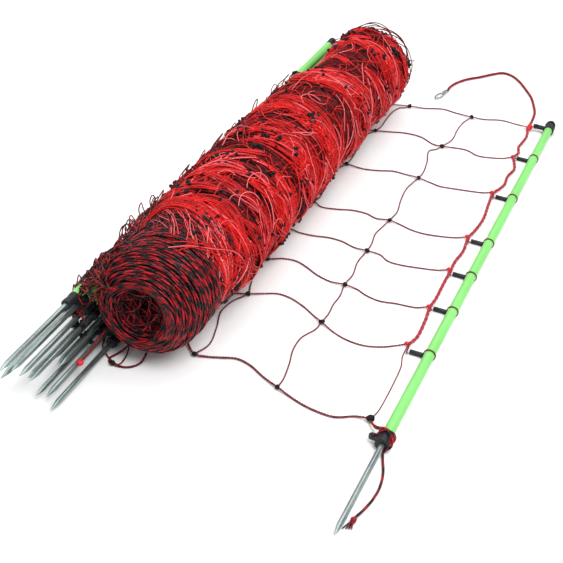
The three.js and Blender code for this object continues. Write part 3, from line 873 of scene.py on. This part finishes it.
class NETTING_OT_bundle(Build):
    """The thirteen bundled posts beside the roll"""

    bl_idname = "netting.bundle"
    bl_label = "Bundled Posts"

    def build(self):
        tubes, caps, feet, spikes = (bmesh.new() for _ in range(4))
        for tag in BUNDLE:
            low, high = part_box(f"bundle_foot_{tag}")
            spike_low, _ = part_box(f"bundle_spike_{tag}")
            datum = high.y + 2.3 * MM
            centre = ((low.x + high.x) / 2, datum, (low.z + high.z) / 2)
            tip = (spike_low.y - datum) / MM
            spin_shape(tubes, [(3.9, -2), (6.4, -2), (TUBE, -1.6), (TUBE, 876), (0, 876)],
                       centre, 20)
            spin_shape(caps, [(0, 876), (6.6, 876), (7, 876.6), (7, 883), (6.6, 883.6), (6.6, 885),
                              (7, 885.6), (7, 898), (5.4, 900), (0, 900)], centre, 20)
            spin_shape(feet, [(3.8, -24.3), (6.5, -24.3), (7, -23.6), (7, -18), (6.5, -17.4),
                              (6.5, -9), (7, -8.4), (7, -2.9), (6.5, -2.3), (3.8, -2.3)],
                       centre, 24, True)
            spin_shape(spikes, [(0, tip), (0.6, tip + 0.8), (3.3, tip + 14), (SPIKE, tip + 17),
                                (SPIKE, SPIKE_TOP)], centre, 20)
        mesh_piece("bundle_tubes", tubes, green_plastic(),
                   [f"bundle_post_{tag}" for tag in BUNDLE])
        mesh_piece("bundle_caps", caps, black_plastic(), angle=35)
        mesh_piece("bundle_feet", feet, black_plastic(),
                   [f"bundle_foot_{tag}" for tag in BUNDLE], 35)
        mesh_piece("bundle_spikes", spikes, galvanised(),
                   [f"bundle_spike_{tag}" for tag in BUNDLE], 30)


KNOTS = [((-273, 37), (-153, 25), (-29, 20)), ((-267, 190), (-153, 177), (-33, 184)),
         ((-278, 282), (-156, 274), (-32, 278)), ((-282, 372), (-157, 371), (-32, 380)),
         ((-278, 463), (-155, 468), (-33, 479)), ((-274, 601), (-155, 615), (-33, 627)),
         ((-271, 736), (-152, 739), (-32.5, 762)), ((-248, 857), (-136, 872), (-36, 880))]
LEAVE = [72, 177, 283, 353, 454, 600, 729, 842]
CLIP_Y = [168, 275, 370, 468, 615, 762]
FIRST = [
    [(-258, 41), (-240, 48), (-222, 55), (-202, 51), (-177, 37)],
    [(-249, 203), (-231, 212), (-213, 211), (-189, 201), (-169, 188)],
    [(-259, 296), (-239, 299), (-221, 292), (-201, 281), (-178, 274)],
    [(-264, 372), (-243, 374), (-221, 380), (-200, 380), (-177, 373)],
    [(-262, 457), (-239, 462), (-215, 471), (-193, 472), (-175, 466)],
    [(-245, 602), (-219, 610), (-199, 619), (-179, 619)],
    [(-248, 748), (-224, 757), (-195, 757), (-168, 742)],
    [(-223, 866), (-191, 880), (-167, 877)],
]
SECOND = [
    [(-132, 17), (-112, 10), (-88, 6), (-69, 7), (-48, 19)],
    [(-132, 166), (-110, 158), (-86, 157), (-62, 166), (-46, 178)],
    [(-138, 274), (-121, 266), (-100, 262), (-77, 267), (-50, 271)],
    [(-138, 373), (-121, 362), (-98, 362), (-75, 367), (-50, 374)],
    [(-138, 467), (-120, 461), (-98, 459), (-73, 464), (-50, 472)],
    [(-134, 613), (-117, 609), (-93, 613), (-69, 618), (-50, 623)],
    [(-131, 748), (-111, 750), (-89, 740), (-69, 744), (-48, 753)],
    [(-115, 878), (-87, 890), (-60, 889)],
]
SIDE = [
    [(-266, 66), (-273, 103), (-283, 139), (-279, 168)], [(-273, 213), (-284, 256), (-287, 271)],
    [(-282, 310), (-286, 345)], [(-282, 390), (-289, 424), (-284, 448)],
    [(-275, 482), (-280, 519), (-287, 553), (-281, 586)],
    [(-274, 625), (-277, 660), (-284, 700), (-279, 722)],
    [(-268, 757), (-269, 790), (-268, 825), (-262, 845), (-255, 850)],
]
MIDDLE = [
    [(-153, 44), (-158, 76), (-165, 107), (-165, 135), (-155, 161)],
    [(-152, 200), (-154, 225), (-153, 247)], [(-155, 305), (-160, 340)],
    [(-158, 395), (-162, 423), (-159, 448)], [(-153, 500), (-159, 537), (-162, 577)],
    [(-154, 638), (-159, 677), (-167, 716), (-158, 728)], [(-144, 775), (-146, 815), (-144, 850)],
]
EDGE = [
    [(-26, 40), (-26, 104), (-28, 138), (-33, 160)], [(-28, 205), (-29, 245)],
    [(-31, 304), (-32, 345)], [(-33, 405), (-30, 440)], [(-30, 500), (-27, 542), (-31, 590)],
    [(-28, 645), (-24, 665), (-26, 692), (-22, 722), (-27, 744)],
    [(-29, 782), (-34, 803), (-32, 825), (-31, 851)],
]


class NETTING_OT_panel(Build):
    """The flat length of net between the roll and the end post"""

    bl_idname = "netting.panel"
    bl_label = "Flat Net"

    def build(self):
        size = sizes()
        rng = np.random.default_rng(11)
        lines, knots = [], bmesh.new()
        reds = bmesh.new()
        for index, (side, middle, end) in enumerate(KNOTS):
            bottom, top = index == 0, index == len(KNOTS) - 1
            diameter = size.line * (1.3 if bottom else 1)
            low = diameter / 2 / MM + 0.2
            height = POST_Z - 3.5 if bottom or top else 3.8
            points = [(-304, LEAVE[index], low), (*side, 3.5), *FIRST[index], (*middle, 3.5),
                      *SECOND[index], (*end, height)]
            if not bottom and not top:
                y = CLIP_Y[index - 1] - 2.5
                points += [(-29.5, y, 3.6), (-27.5, y, 3.6)]
            lines += plies(places(points, low), diameter, 0.008, 2, 0.0016, rng.uniform(0, 6))
            for spot in (side, middle):
                knot_lump(knots, place(*spot, 3.9), 0.0036, rng, 0.85, 2)
                knot_lump(knots, place(spot[0] + 1.5, spot[1] - 1.2, 3.3), 0.0024, rng, 0.85, 1)
            if top:
                knot_lump(reds, place(end[0] + 2.5, end[1], height + 0.8), 0.0062, rng, 0.9, 2)
                knot_lump(reds, place(end[0] + 2, end[1] - 4.5, height), 0.0042, rng, 0.9, 2)
            elif bottom:
                knot_lump(knots, place(end[0], end[1], height), 0.0052, rng, 0.85, 2)
            else:
                knot_lump(reds, place(end[0] - 3, end[1] + 1, height), 0.0032, rng, 0.85, 2)
        for column, strands in ((0, SIDE), (1, MIDDLE)):
            points = []
            for index, row in enumerate(KNOTS):
                points.append((*row[column], 3.5))
                if index < len(strands):
                    points += strands[index]
            low = size.upright / 2 / MM + 0.2
            lines += plies(places(points, low), size.upright, 0.008, 2, 0.0016, 1.0 + column)
        # Below the lowest clip the edge is one thin line down to the bottom knot
        foot_end = [(*KNOTS[0][2], POST_Z - 3.5), *EDGE[0], (*KNOTS[1][2], 3.8)]
        lines += plies(places(foot_end, 1.3), 0.0021, 0.008, 2, 0.0016)
        points = []
        for index, row in enumerate(KNOTS[1:], 1):
            points.append((*row[2], POST_Z - 3.5 if index == 7 else 3.8))
            if index < len(EDGE):
                points += EDGE[index]
        twine_piece("flat_net_twines", lines, 5, panel_twine(), ("net_panel",))
        pink = twine_material("Crimson edge cord", (0.55, 0.04, 0.07), (0.36, 0.012, 0.03),
                              0.009, 0.12, 0.6)
        edge = plies(places(points, 2.9), size.edge * 1.2, 0.022, 2, 0.002)
        twine_piece("edge_cord", edge, 6, pink)
        mesh_piece("flat_net_knots", knots, knot_black())
        mesh_piece("edge_cord_knots", reds, knot_red())


class NETTING_OT_roll_core(Build):
    """The inner turns, coloured near black as painted shade, seen only between the twines"""

    bl_idname = "netting.roll_core"
    bl_label = "Inner Turns"

    def build(self):
        bm = bmesh.new()
        outside = [(22, 32), (28, 12), (36, 0), (45, -8), (52, -5), (58, 5), (63, 20), (65, 42), (65, 62),
                   (62, 86), (61, 104), (66, 140), (70, 250), (70, 400), (70, 530), (66, 590),
                   (54, 660), (50, 800), (40, 846)]
        profile = [(18, 54), *outside, (24, 856), (20, 400)]
        spin_shape(bm, profile, (ROLL_X * MM + SHIFT.x, SHIFT.y, ROLL_Z * MM), 48, True)
        # Painted shade: the inner turns are near-black red, standing in for the shade deep inside the roll
        made, nodes, links, shader = surface("Inner turns", (0.05, 0.004, 0.006), 0.8)
        where = nodes.new("ShaderNodeTexCoord").outputs["Object"]
        strands = noise(nodes, links, where, 240)
        spread = remap(nodes, links, strands, From_Min=0.45, From_Max=0.75)
        deep = mix(nodes, links, spread, (0.006, 0.001, 0.002), (0.13, 0.002, 0.004))
        links.new(deep, shader.inputs["Base Color"])
        add_bump(nodes, links, shader, strands, 1, 0.002)
        mesh_piece("net_roll_inner_turns", bm, made, ("net_roll",))


class NETTING_OT_barrel(Build):
    """Thick red and black line wound on the roll's near end"""

    bl_idname = "netting.barrel"
    bl_label = "Near End"

    def build(self):
        rng = np.random.default_rng(21)
        radius = sizes().barrel / 2
        # Half section of the barrel, from inside the mouth over the rim to the waist
        section = np.array([(18, 50), (23, 30), (28, 10), (34, -6), (43, -15), (53, -12),
                            (62, 0), (67, 16), (69.5, 38), (69.5, 60), (67, 84), (66, 104)], float)
        run = np.concatenate([[0], np.cumsum(np.linalg.norm(np.diff(section, axis=0), axis=1))])
        runs = []
        for layer, (lift, gap) in enumerate(((-1.8, 2.9), (0.5, 3.6), (1.6, 9.0))):
            at = 0.0
            while at < run[-1]:
                wobble = rng.uniform(0, 6.3)
                tilt = rng.uniform(-4, 4) + (-3, 5, 9)[layer]
                angles = np.linspace(0, 2 * math.pi, 56, endpoint=False)
                s = at + tilt * np.sin(angles + 0.6) + rng.uniform(-0.8, 0.8)
                s = np.clip(s + 1.4 * np.sin(3 * angles + wobble * 2), 0, run[-1])
                reach = np.interp(s, run, section[:, 0])
                y = np.interp(s, run, section[:, 1])
                out = lift + np.sin(2 * angles + wobble) + rng.normal(0, 0.4)
                reach = reach + np.where(s < run[3], -out, out)
                x = ROLL_X + reach * np.cos(angles)
                z = np.maximum(ROLL_Z + reach * np.sin(angles), TURN_ON_FLOOR)
                points = np.stack([x * MM + SHIFT.x, y * MM + SHIFT.y, z * MM], 1)
                runs.append((points, radius * rng.uniform(0.7, 1.0)))
                at += gap * rng.uniform(0.8, 1.25)
        twine_piece("near_end_turns", runs, 6, barrel_twine(), cyclic=True)
        self.mouth(rng)
        self.waist(rng)

    def mouth(self, rng):
        runs = []
        for _ in range(64):
            first = rng.uniform(0, 2 * math.pi)
            turn = rng.uniform(0.9, 3.0)
            deep = rng.uniform(-4, 34)
            reach = 31 - deep * 0.22 - rng.uniform(0, 4)
            bow = rng.uniform(0.15, 0.85)
            points = []
            for share in np.linspace(0, 1, 5):
                near = 1 - bow * math.sin(math.pi * share)
                angle = first + turn * share
                points.append(place(ROLL_X + reach * near * math.cos(angle),
                                    deep + 5 * math.sin(3 * share + first),
                                    ROLL_Z + reach * near * math.sin(angle)))
            runs.append((smooth_path(points, 0.007), sizes().barrel / 2 * rng.uniform(0.5, 0.8)))
        twine_piece("mouth_twines", runs, 5, barrel_twine())

    def waist(self, rng):
        runs = []
        reds = []
        for angle in np.arange(4, 172, 2.6):
            start = angle + rng.normal(0, 2)
            turn = rng.uniform(30, 56)
            angles = start - turn * np.array([-0.3, 0.3, 0.7, 1.0])
            heights = np.array([136, 116, 96, 76]) + rng.normal(0, 4, 4)
            run = wound_run(angles, heights, np.array([1, 2.6, 2.8, 1.8]) + rng.normal(0, 0.5))
            (runs if rng.random() < 0.3 else reds).append((run, 0.0006))
        for _ in range(60):
            start, y = rng.uniform(-60, 110), rng.uniform(92, 130)
            angles = start + rng.uniform(60, 120) * np.linspace(0, 1, 6)
            heights = y - 10 * np.linspace(-0.5, 0.5, 6) + rng.normal(0, 1.5, 6)
            reds.append((wound_run(angles, heights, rng.uniform(-1, 2)), sizes().barrel / 2 * 0.75))
        # The fine twines picked above take the pale twine of painted glints
        twine_piece("waist_fine_twines", runs, 5, glint_twine())
        twine_piece("waist_twines", reds, 5, barrel_twine())


class NETTING_OT_roll_twines(Build):
    """Bands, uprights and fans of bright red twine on the roll"""

    bl_idname = "netting.roll_twines"
    bl_label = "Wound Twines"

    def build(self):
        rng = np.random.default_rng(5)
        radius = sizes().roll / 2
        deep, bright, pale = [], [], []
        # The lowest layer takes the darker twine, painted shade under the twines over it
        for _ in range(860):
            start, y = rng.uniform(-110, 150), rng.uniform(108, 850)
            marks = np.linspace(0, 1, 7)
            wave = rng.uniform(2, 9) * np.sin(2 * math.pi * (rng.uniform(0.4, 1.8) * marks + rng.random()))
            angles = np.minimum(start + rng.uniform(70, 170) * marks, 250)
            heights = np.clip(y + rng.normal(0, 16) * marks + wave + rng.normal(0, 1.2, 7), 100, 862)
            deep.append((wound_run(angles, heights, rng.uniform(-4.5, -0.5) + rng.normal(0, 0.6, 7), 11),
                         radius * rng.uniform(0.85, 1.15)))
        for index in range(98):
            band = BANDS[index % len(BANDS)] + rng.normal(0, 22)
            angle = rng.choice((-70, -40, -10, 30, 70, 120, 170)) + rng.normal(0, 14)
            sheaves = sheaf(rng, angle, max(band, 138), rng.uniform(50, 110), rng.normal(-16, 24),
                            rng.integers(7, 15), rng.uniform(1.9, 3.0), rng.uniform(-0.5, 2.0))
            for run in sheaves:
                (pale if rng.random() < 0.12 else bright).append((run, radius * rng.uniform(0.9, 1.2)))
        for _ in range(420):
            angle, y = rng.uniform(-85, 240), rng.uniform(112, 850)
            marks = np.linspace(0, 1, 5)
            rise = rng.choice((-1, 1)) * rng.uniform(30, 74)
            angles = angle + rng.normal(0, 20) * marks + rng.normal(0, 3, 5)
            heights = np.clip(y + rise * marks + rng.normal(0, 2, 5), 104, 864)
            lifts = rng.uniform(-2.5, 1.2) + rng.normal(0, 0.8, 5)
            bright.append((wound_run(angles, heights, lifts), radius))
        for _ in range(330):
            angle, y = rng.uniform(-80, 235), rng.uniform(108, 850)
            points = curl(rng, angle, y, rng.uniform(28, 80), 0.1, rng.uniform(1, 4.5))
            (pale if rng.random() < 0.55 else bright).append((points, radius * rng.uniform(0.75, 1.0)))
        self.fans(rng, bright, pale, radius)
        twine_piece("roll_deep_twines", deep, 4, shaded_red_twine())
        twine_piece("roll_twines", bright, 4, net_red())
        # The pale twines from the sheaves, curls and fans are painted glints
        twine_piece("roll_bright_twines", pale, 4, glint_twine())

    def fans(self, rng, bright, pale, radius):
        """Twines that spread out from the knots along the roll's right flank."""
        for count, (angle, y) in enumerate(((-16, 90), (-18, 186), (-14, 284), (-20, 372), (-16, 462),
                                            (-18, 610), (-14, 738))):
            for _ in range(46 if count == 0 else 24):
                reach = rng.uniform(24, 100 if count == 0 else 70)
                side = rng.uniform(-26, 62) if count == 0 else rng.normal(0, 34)
                marks = np.array([0, 0.3, 0.65, 1.0])
                bow = rng.normal(0, 9)
                angles = angle + rng.normal(0, 3) + reach * marks
                heights = y + side * marks ** 0.7 + bow * np.sin(math.pi * marks)
                lifts = np.array([0.5, 3.0, 3.4, 1.5]) + rng.normal(0, 0.6, 4)
                run = wound_run(angles, np.maximum(heights, 66), lifts)
                (pale if rng.random() < 0.15 else bright).append((run, radius * rng.uniform(0.9, 1.2)))
        # The net's edge that sags over the waist at the top left
        for _ in range(34):
            lie = rng.uniform(0, 1)
            angles = np.array([172, 150, 122, 92, 60]) + rng.normal(0, 3, 5)
            heights = np.array([64, 104, 122, 124, 112]) + 26 * lie + rng.normal(0, 2, 5)
            lifts = np.array([1, 4, 4, 3, 1]) + rng.normal(0, 0.8)
            bright.append((wound_run(angles, heights, lifts), radius))
        for count in range(6):
            angles = np.array([0, 24, 50, 74]) + rng.normal(0, 4, 4)
            heights = np.array([150, 118, 82, 48]) + rng.normal(0, 7, 4)
            run = wound_run(angles, heights, np.array([2, 5, 5, 3.5]))
            (pale if count == 0 else bright).append((run, radius * 0.8))


class NETTING_OT_far_end(Build):
    """Twines that close over the roll's far end"""

    bl_idname = "netting.far_end"
    bl_label = "Far End"

    def build(self):
        rng = np.random.default_rng(31)
        runs = []
        for _ in range(240):
            first = rng.uniform(-100, 250)
            second = first + rng.uniform(70, 180) * rng.choice((-1, 1))
            start = on_roll(first, rng.uniform(800, 846), rng.uniform(-1, 2))
            stop = on_roll(second, rng.uniform(806, 852), rng.uniform(-1, 2))
            middle = place(ROLL_X + rng.normal(0, 22), FAR_RIM - rng.uniform(2, 14),
                           ROLL_Z - 6 + rng.normal(0, 22))
            a = on_roll(first, 858, -2)
            b = on_roll(second, 858, -2)
            runs.append((smooth_path([start, a, middle, b, stop], 0.012), sizes().roll / 2))
        twine_piece("far_end_twines", runs, 4, net_red())


class NETTING_OT_roll_knots(Build):
    """Black knots where the wound net's lines and uprights cross"""

    bl_idname = "netting.roll_knots"
    bl_label = "Roll Knots"

    def build(self):
        rng = np.random.default_rng(41)
        bm = bmesh.new()
        for band in [118, *BANDS, 836]:
            for _ in range(14):
                angle = rng.uniform(-70, 225)
                y = band + rng.normal(0, 12)
                for _ in range(rng.integers(2, 6)):
                    spot = on_roll(angle + rng.normal(0, 6), y + rng.normal(0, 6), rng.uniform(0.5, 3.4))
                    knot_lump(bm, spot, rng.uniform(0.0022, 0.0042), rng, 0.75)
        for _ in range(90):
            spot = on_roll(rng.uniform(-60, 220), rng.uniform(110, 850), rng.uniform(0, 3))
            knot_lump(bm, spot, rng.uniform(0.0018, 0.003), rng, 0.8)
        mesh_piece("roll_knots", bm, knot_black())


class NETTING_OT_slack(Build):
    """Loose loops that stand off the roll and hang over the bundled posts"""

    bl_idname = "netting.slack"
    bl_label = "Slack Loops"

    def build(self):
        rng = np.random.default_rng(51)
        loops, knots = [], bmesh.new()

        def loop(angle, y, wide, tall, out):
            angles = angle + wide * np.array([-0.5, -0.6, -0.25, 0.25, 0.6, 0.5])
            heights = y + tall * np.array([-0.45, 0.0, 0.5, 0.5, 0.0, -0.45])
            lifts = out * np.array([0.0, 0.5, 1.0, 0.95, 0.5, 0.0])
            points = on_roll(angles, np.clip(heights, -26, 868), lifts)
            loops.append((smooth_path(points, 0.006), 0.0008 * rng.uniform(0.9, 1.25)))

        for _ in range(22):
            loop(rng.uniform(132, 165), rng.uniform(120, 660), rng.uniform(3, 9), rng.uniform(16, 60),
                 rng.uniform(3, 13))
        for _ in range(60):
            loop(rng.uniform(170, 232), rng.uniform(120, 850), rng.uniform(6, 16), rng.uniform(16, 50),
                 rng.uniform(0, 5))
        for _ in range(18):
            loop(rng.uniform(-62, -25), rng.uniform(90, 850), rng.uniform(6, 14), rng.uniform(20, 44),
                 rng.uniform(2, 8))
        for _ in range(6):
            start = rng.uniform(60, 150)
            angles = np.linspace(start, start - rng.uniform(60, 140), 7)
            heights = np.array([800, 830, 848, 856, 850, 836, 810]) + rng.normal(0, 5, 7)
            lifts = np.array([0, 8, 15, 18, 16, 8, 0]) * rng.uniform(0.5, 1.0)
            loops.append((wound_run(angles, np.minimum(heights, 868), lifts, 6), 0.0009))
        # The loose loops take the dark twine of painted shade
        twine_piece("slack_loops", loops, 5, shaded_slack_twine())
        net = []
        for _ in range(26):
            angle = rng.uniform(138, 216)
            marks = np.linspace(0, 1, 9)
            angles = angle + rng.normal(0, 5, 9) + rng.normal(0, 8) * marks
            heights = -22 + rng.uniform(0, 20) + rng.uniform(120, 190) * marks
            lifts = 4 + rng.normal(0, 2.6, 9)
            net.append((wound_run(angles, heights, lifts, 6, True), 0.001))
        for _ in range(20):
            y = rng.uniform(-18, 150)
            marks = np.linspace(0, 1, 8)
            angles = rng.uniform(118, 150) + rng.uniform(50, 84) * marks
            heights = y + rng.normal(0, 4, 8) + rng.normal(0, 14) * marks
            lifts = 4 + rng.normal(0, 2.6, 8)
            net.append((wound_run(angles, np.maximum(heights, -24), lifts, 6, True), 0.001))
        for _ in range(46):
            net.append((curl(rng, rng.uniform(138, 210), rng.uniform(-14, 160), rng.uniform(40, 80), 0.25,
                             rng.uniform(4, 12), True), 0.00095))
        for _ in range(44):
            angle, y = rng.uniform(146, 200), rng.uniform(-16, 190)
            wide, tall, out = rng.uniform(4, 11), rng.uniform(10, 26), rng.uniform(8, 17)
            angles = angle + wide * np.array([-0.5, -0.6, -0.25, 0.25, 0.6, 0.5])
            heights = np.maximum(y + tall * np.array([-0.45, 0.0, 0.5, 0.5, 0.0, -0.45]), -24)
            lifts = out * np.array([0.1, 0.6, 1.0, 0.95, 0.6, 0.1])
            net.append((smooth_path(on_roll(angles, heights, lifts, True), 0.005), 0.0009))
        left_loop = [(-390, 15, 6), (-386, 1), (-375, -11), (-362, -20), (-349, -24), (-348, -11),
                     (-350, 2, 4), (-356, 18, 9)]
        net.append((smooth_path(places(left_loop, 1.4), 0.004), 0.0011))
        for _ in range(46):
            spot = on_roll(rng.uniform(176, 226), rng.uniform(-22, -4), rng.uniform(-3, 3), True)
            knot_lump(knots, spot, rng.uniform(0.002, 0.0034), rng, 0.8)
        for _ in range(44):
            spot = on_roll(rng.uniform(140, 216), rng.uniform(-10, 160), rng.uniform(0, 7), True)
            knot_lump(knots, spot, rng.uniform(0.0018, 0.0026), rng, 0.8)
        for _ in range(24):
            spot = on_roll(rng.uniform(115, 160), rng.uniform(150, 680), rng.uniform(1, 4))
            knot_lump(knots, spot, 0.0022, rng, 0.8)
        low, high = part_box("bundle_foot_07")
        post_x = ((low.x + high.x) / 2 - SHIFT.x) / MM
        post_z = (low.z + high.z) / 2 / MM
        for y, lean in ((RING_Y, 7), (RING_Y + 9, -6), (RING_Y + 3, 12)):
            turn = np.linspace(0, 2 * math.pi, 26)
            ring = [place(post_x + 8.6 * math.cos(t), y + lean * math.sin(t + y),
                          post_z + 8.6 * math.sin(t)) for t in turn]
            net.append((np.array(ring), 0.0009))
        knot_lump(knots, place(post_x - 3, RING_Y + 2, post_z + 9), 0.004, rng, 0.85)
        for drop in (0, 7, -6):
            hang = [place(post_x + 4, 872, post_z + 7), place(post_x + 22, 868, post_z + 10 - drop),
                    place(post_x + 40, 862, post_z + 4 + drop), on_roll(118, 846, 3), on_roll(100, 838, 2)]
            net.append((smooth_path(hang, 0.006), 0.0009))
        knot_lump(knots, place(post_x + 22, 868, post_z + 10), 0.003, rng, 0.85)
        twine_piece("net_over_feet", net, 5, barrel_twine())
        mesh_piece("slack_knots", knots, knot_black())


class NETTING_OT_stage(Build):
    """Plain pale floor and soft studio light"""

    bl_idname = "netting.stage"
    bl_label = "Stage"

    def build(self):
        bm = bmesh.new()
        bmesh.ops.create_grid(bm, x_segments=1, y_segments=1, size=6)
        mesh = bpy.data.meshes.new("floor")
        bm.to_mesh(mesh)
        bm.free()
        floor = bpy.data.objects.new("floor", mesh)
        bpy.context.scene.collection.objects.link(floor)
        made, nodes, links, shader = surface("Pale floor", (0.9, 0.9, 0.9), 0.9)
        cloud = noise(nodes, links, nodes.new("ShaderNodeTexCoord").outputs["Object"], 3)
        links.new(mix(nodes, links, cloud, (0.9, 0.9, 0.9), (0.93, 0.93, 0.93)),
                  shader.inputs["Base Color"])
        mesh.materials.append(made)
        world = bpy.data.worlds.new("studio")
        world.use_nodes = True
        sky = world.node_tree.nodes["Background"].inputs
        sky["Color"].default_value = (1, 1, 1, 1)
        sky["Strength"].default_value = 0.62
        bpy.context.scene.world = world
        bpy.context.scene.view_settings.view_transform = "Standard"
        for name, spot, size, watts in (("key", (0.9, -0.7, 1.9), 1.4, 34),
                                        ("fill", (-1.6, 0.2, 1.5), 1.8, 14),
                                        ("top", (0.0, 0.9, 2.2), 1.6, 18)):
            light = bpy.data.lights.new(name, "AREA")
            light.shape = "DISK"
            light.size = size
            light.energy = watts
            lamp = bpy.data.objects.new(name, light)
            bpy.context.scene.collection.objects.link(lamp)
            lamp.location = spot
            lamp.rotation_euler = (-Vector(spot)).to_track_quat("-Z", "Y").to_euler()


class NETTING_PT_panel(bpy.types.Panel):
    """Sizes, colours and the steps that build the netting"""

    bl_idname = "NETTING_PT_panel"
    bl_label = "Sheep Netting"
    bl_space_type = "VIEW_3D"
    bl_region_type = "UI"
    bl_category = "Netting"

    def draw(self, context):
        for group in (context.scene.netting_sizes, context.scene.netting_colours):
            for name in group.__annotations__:
                self.layout.prop(group, name)
        for operator in STEPS:
            self.layout.operator(operator.bl_idname)


STEPS = (
    NETTING_OT_camera,
    NETTING_OT_ropes,
    NETTING_OT_end_post,
    NETTING_OT_clips,
    NETTING_OT_bundle,
    NETTING_OT_panel,
    NETTING_OT_roll_core,
    NETTING_OT_barrel,
    NETTING_OT_roll_twines,
    NETTING_OT_far_end,
    NETTING_OT_roll_knots,
    NETTING_OT_slack,
    NETTING_OT_stage,
)
CLASSES = (NettingSizes, NettingColours, *STEPS, NETTING_PT_panel)


def register():
    for item in CLASSES:
        bpy.utils.register_class(item)
    bpy.types.Scene.netting_sizes = bpy.props.PointerProperty(type=NettingSizes)
    bpy.types.Scene.netting_colours = bpy.props.PointerProperty(type=NettingColours)


def unregister():
    del bpy.types.Scene.netting_colours
    del bpy.types.Scene.netting_sizes
    for item in reversed(CLASSES):
        bpy.utils.unregister_class(item)


def main():
    register()
    for step in STEPS:
        group, name = step.bl_idname.split(".")
        getattr(getattr(bpy.ops, group), name)()


if __name__ == "__main__":
    main()
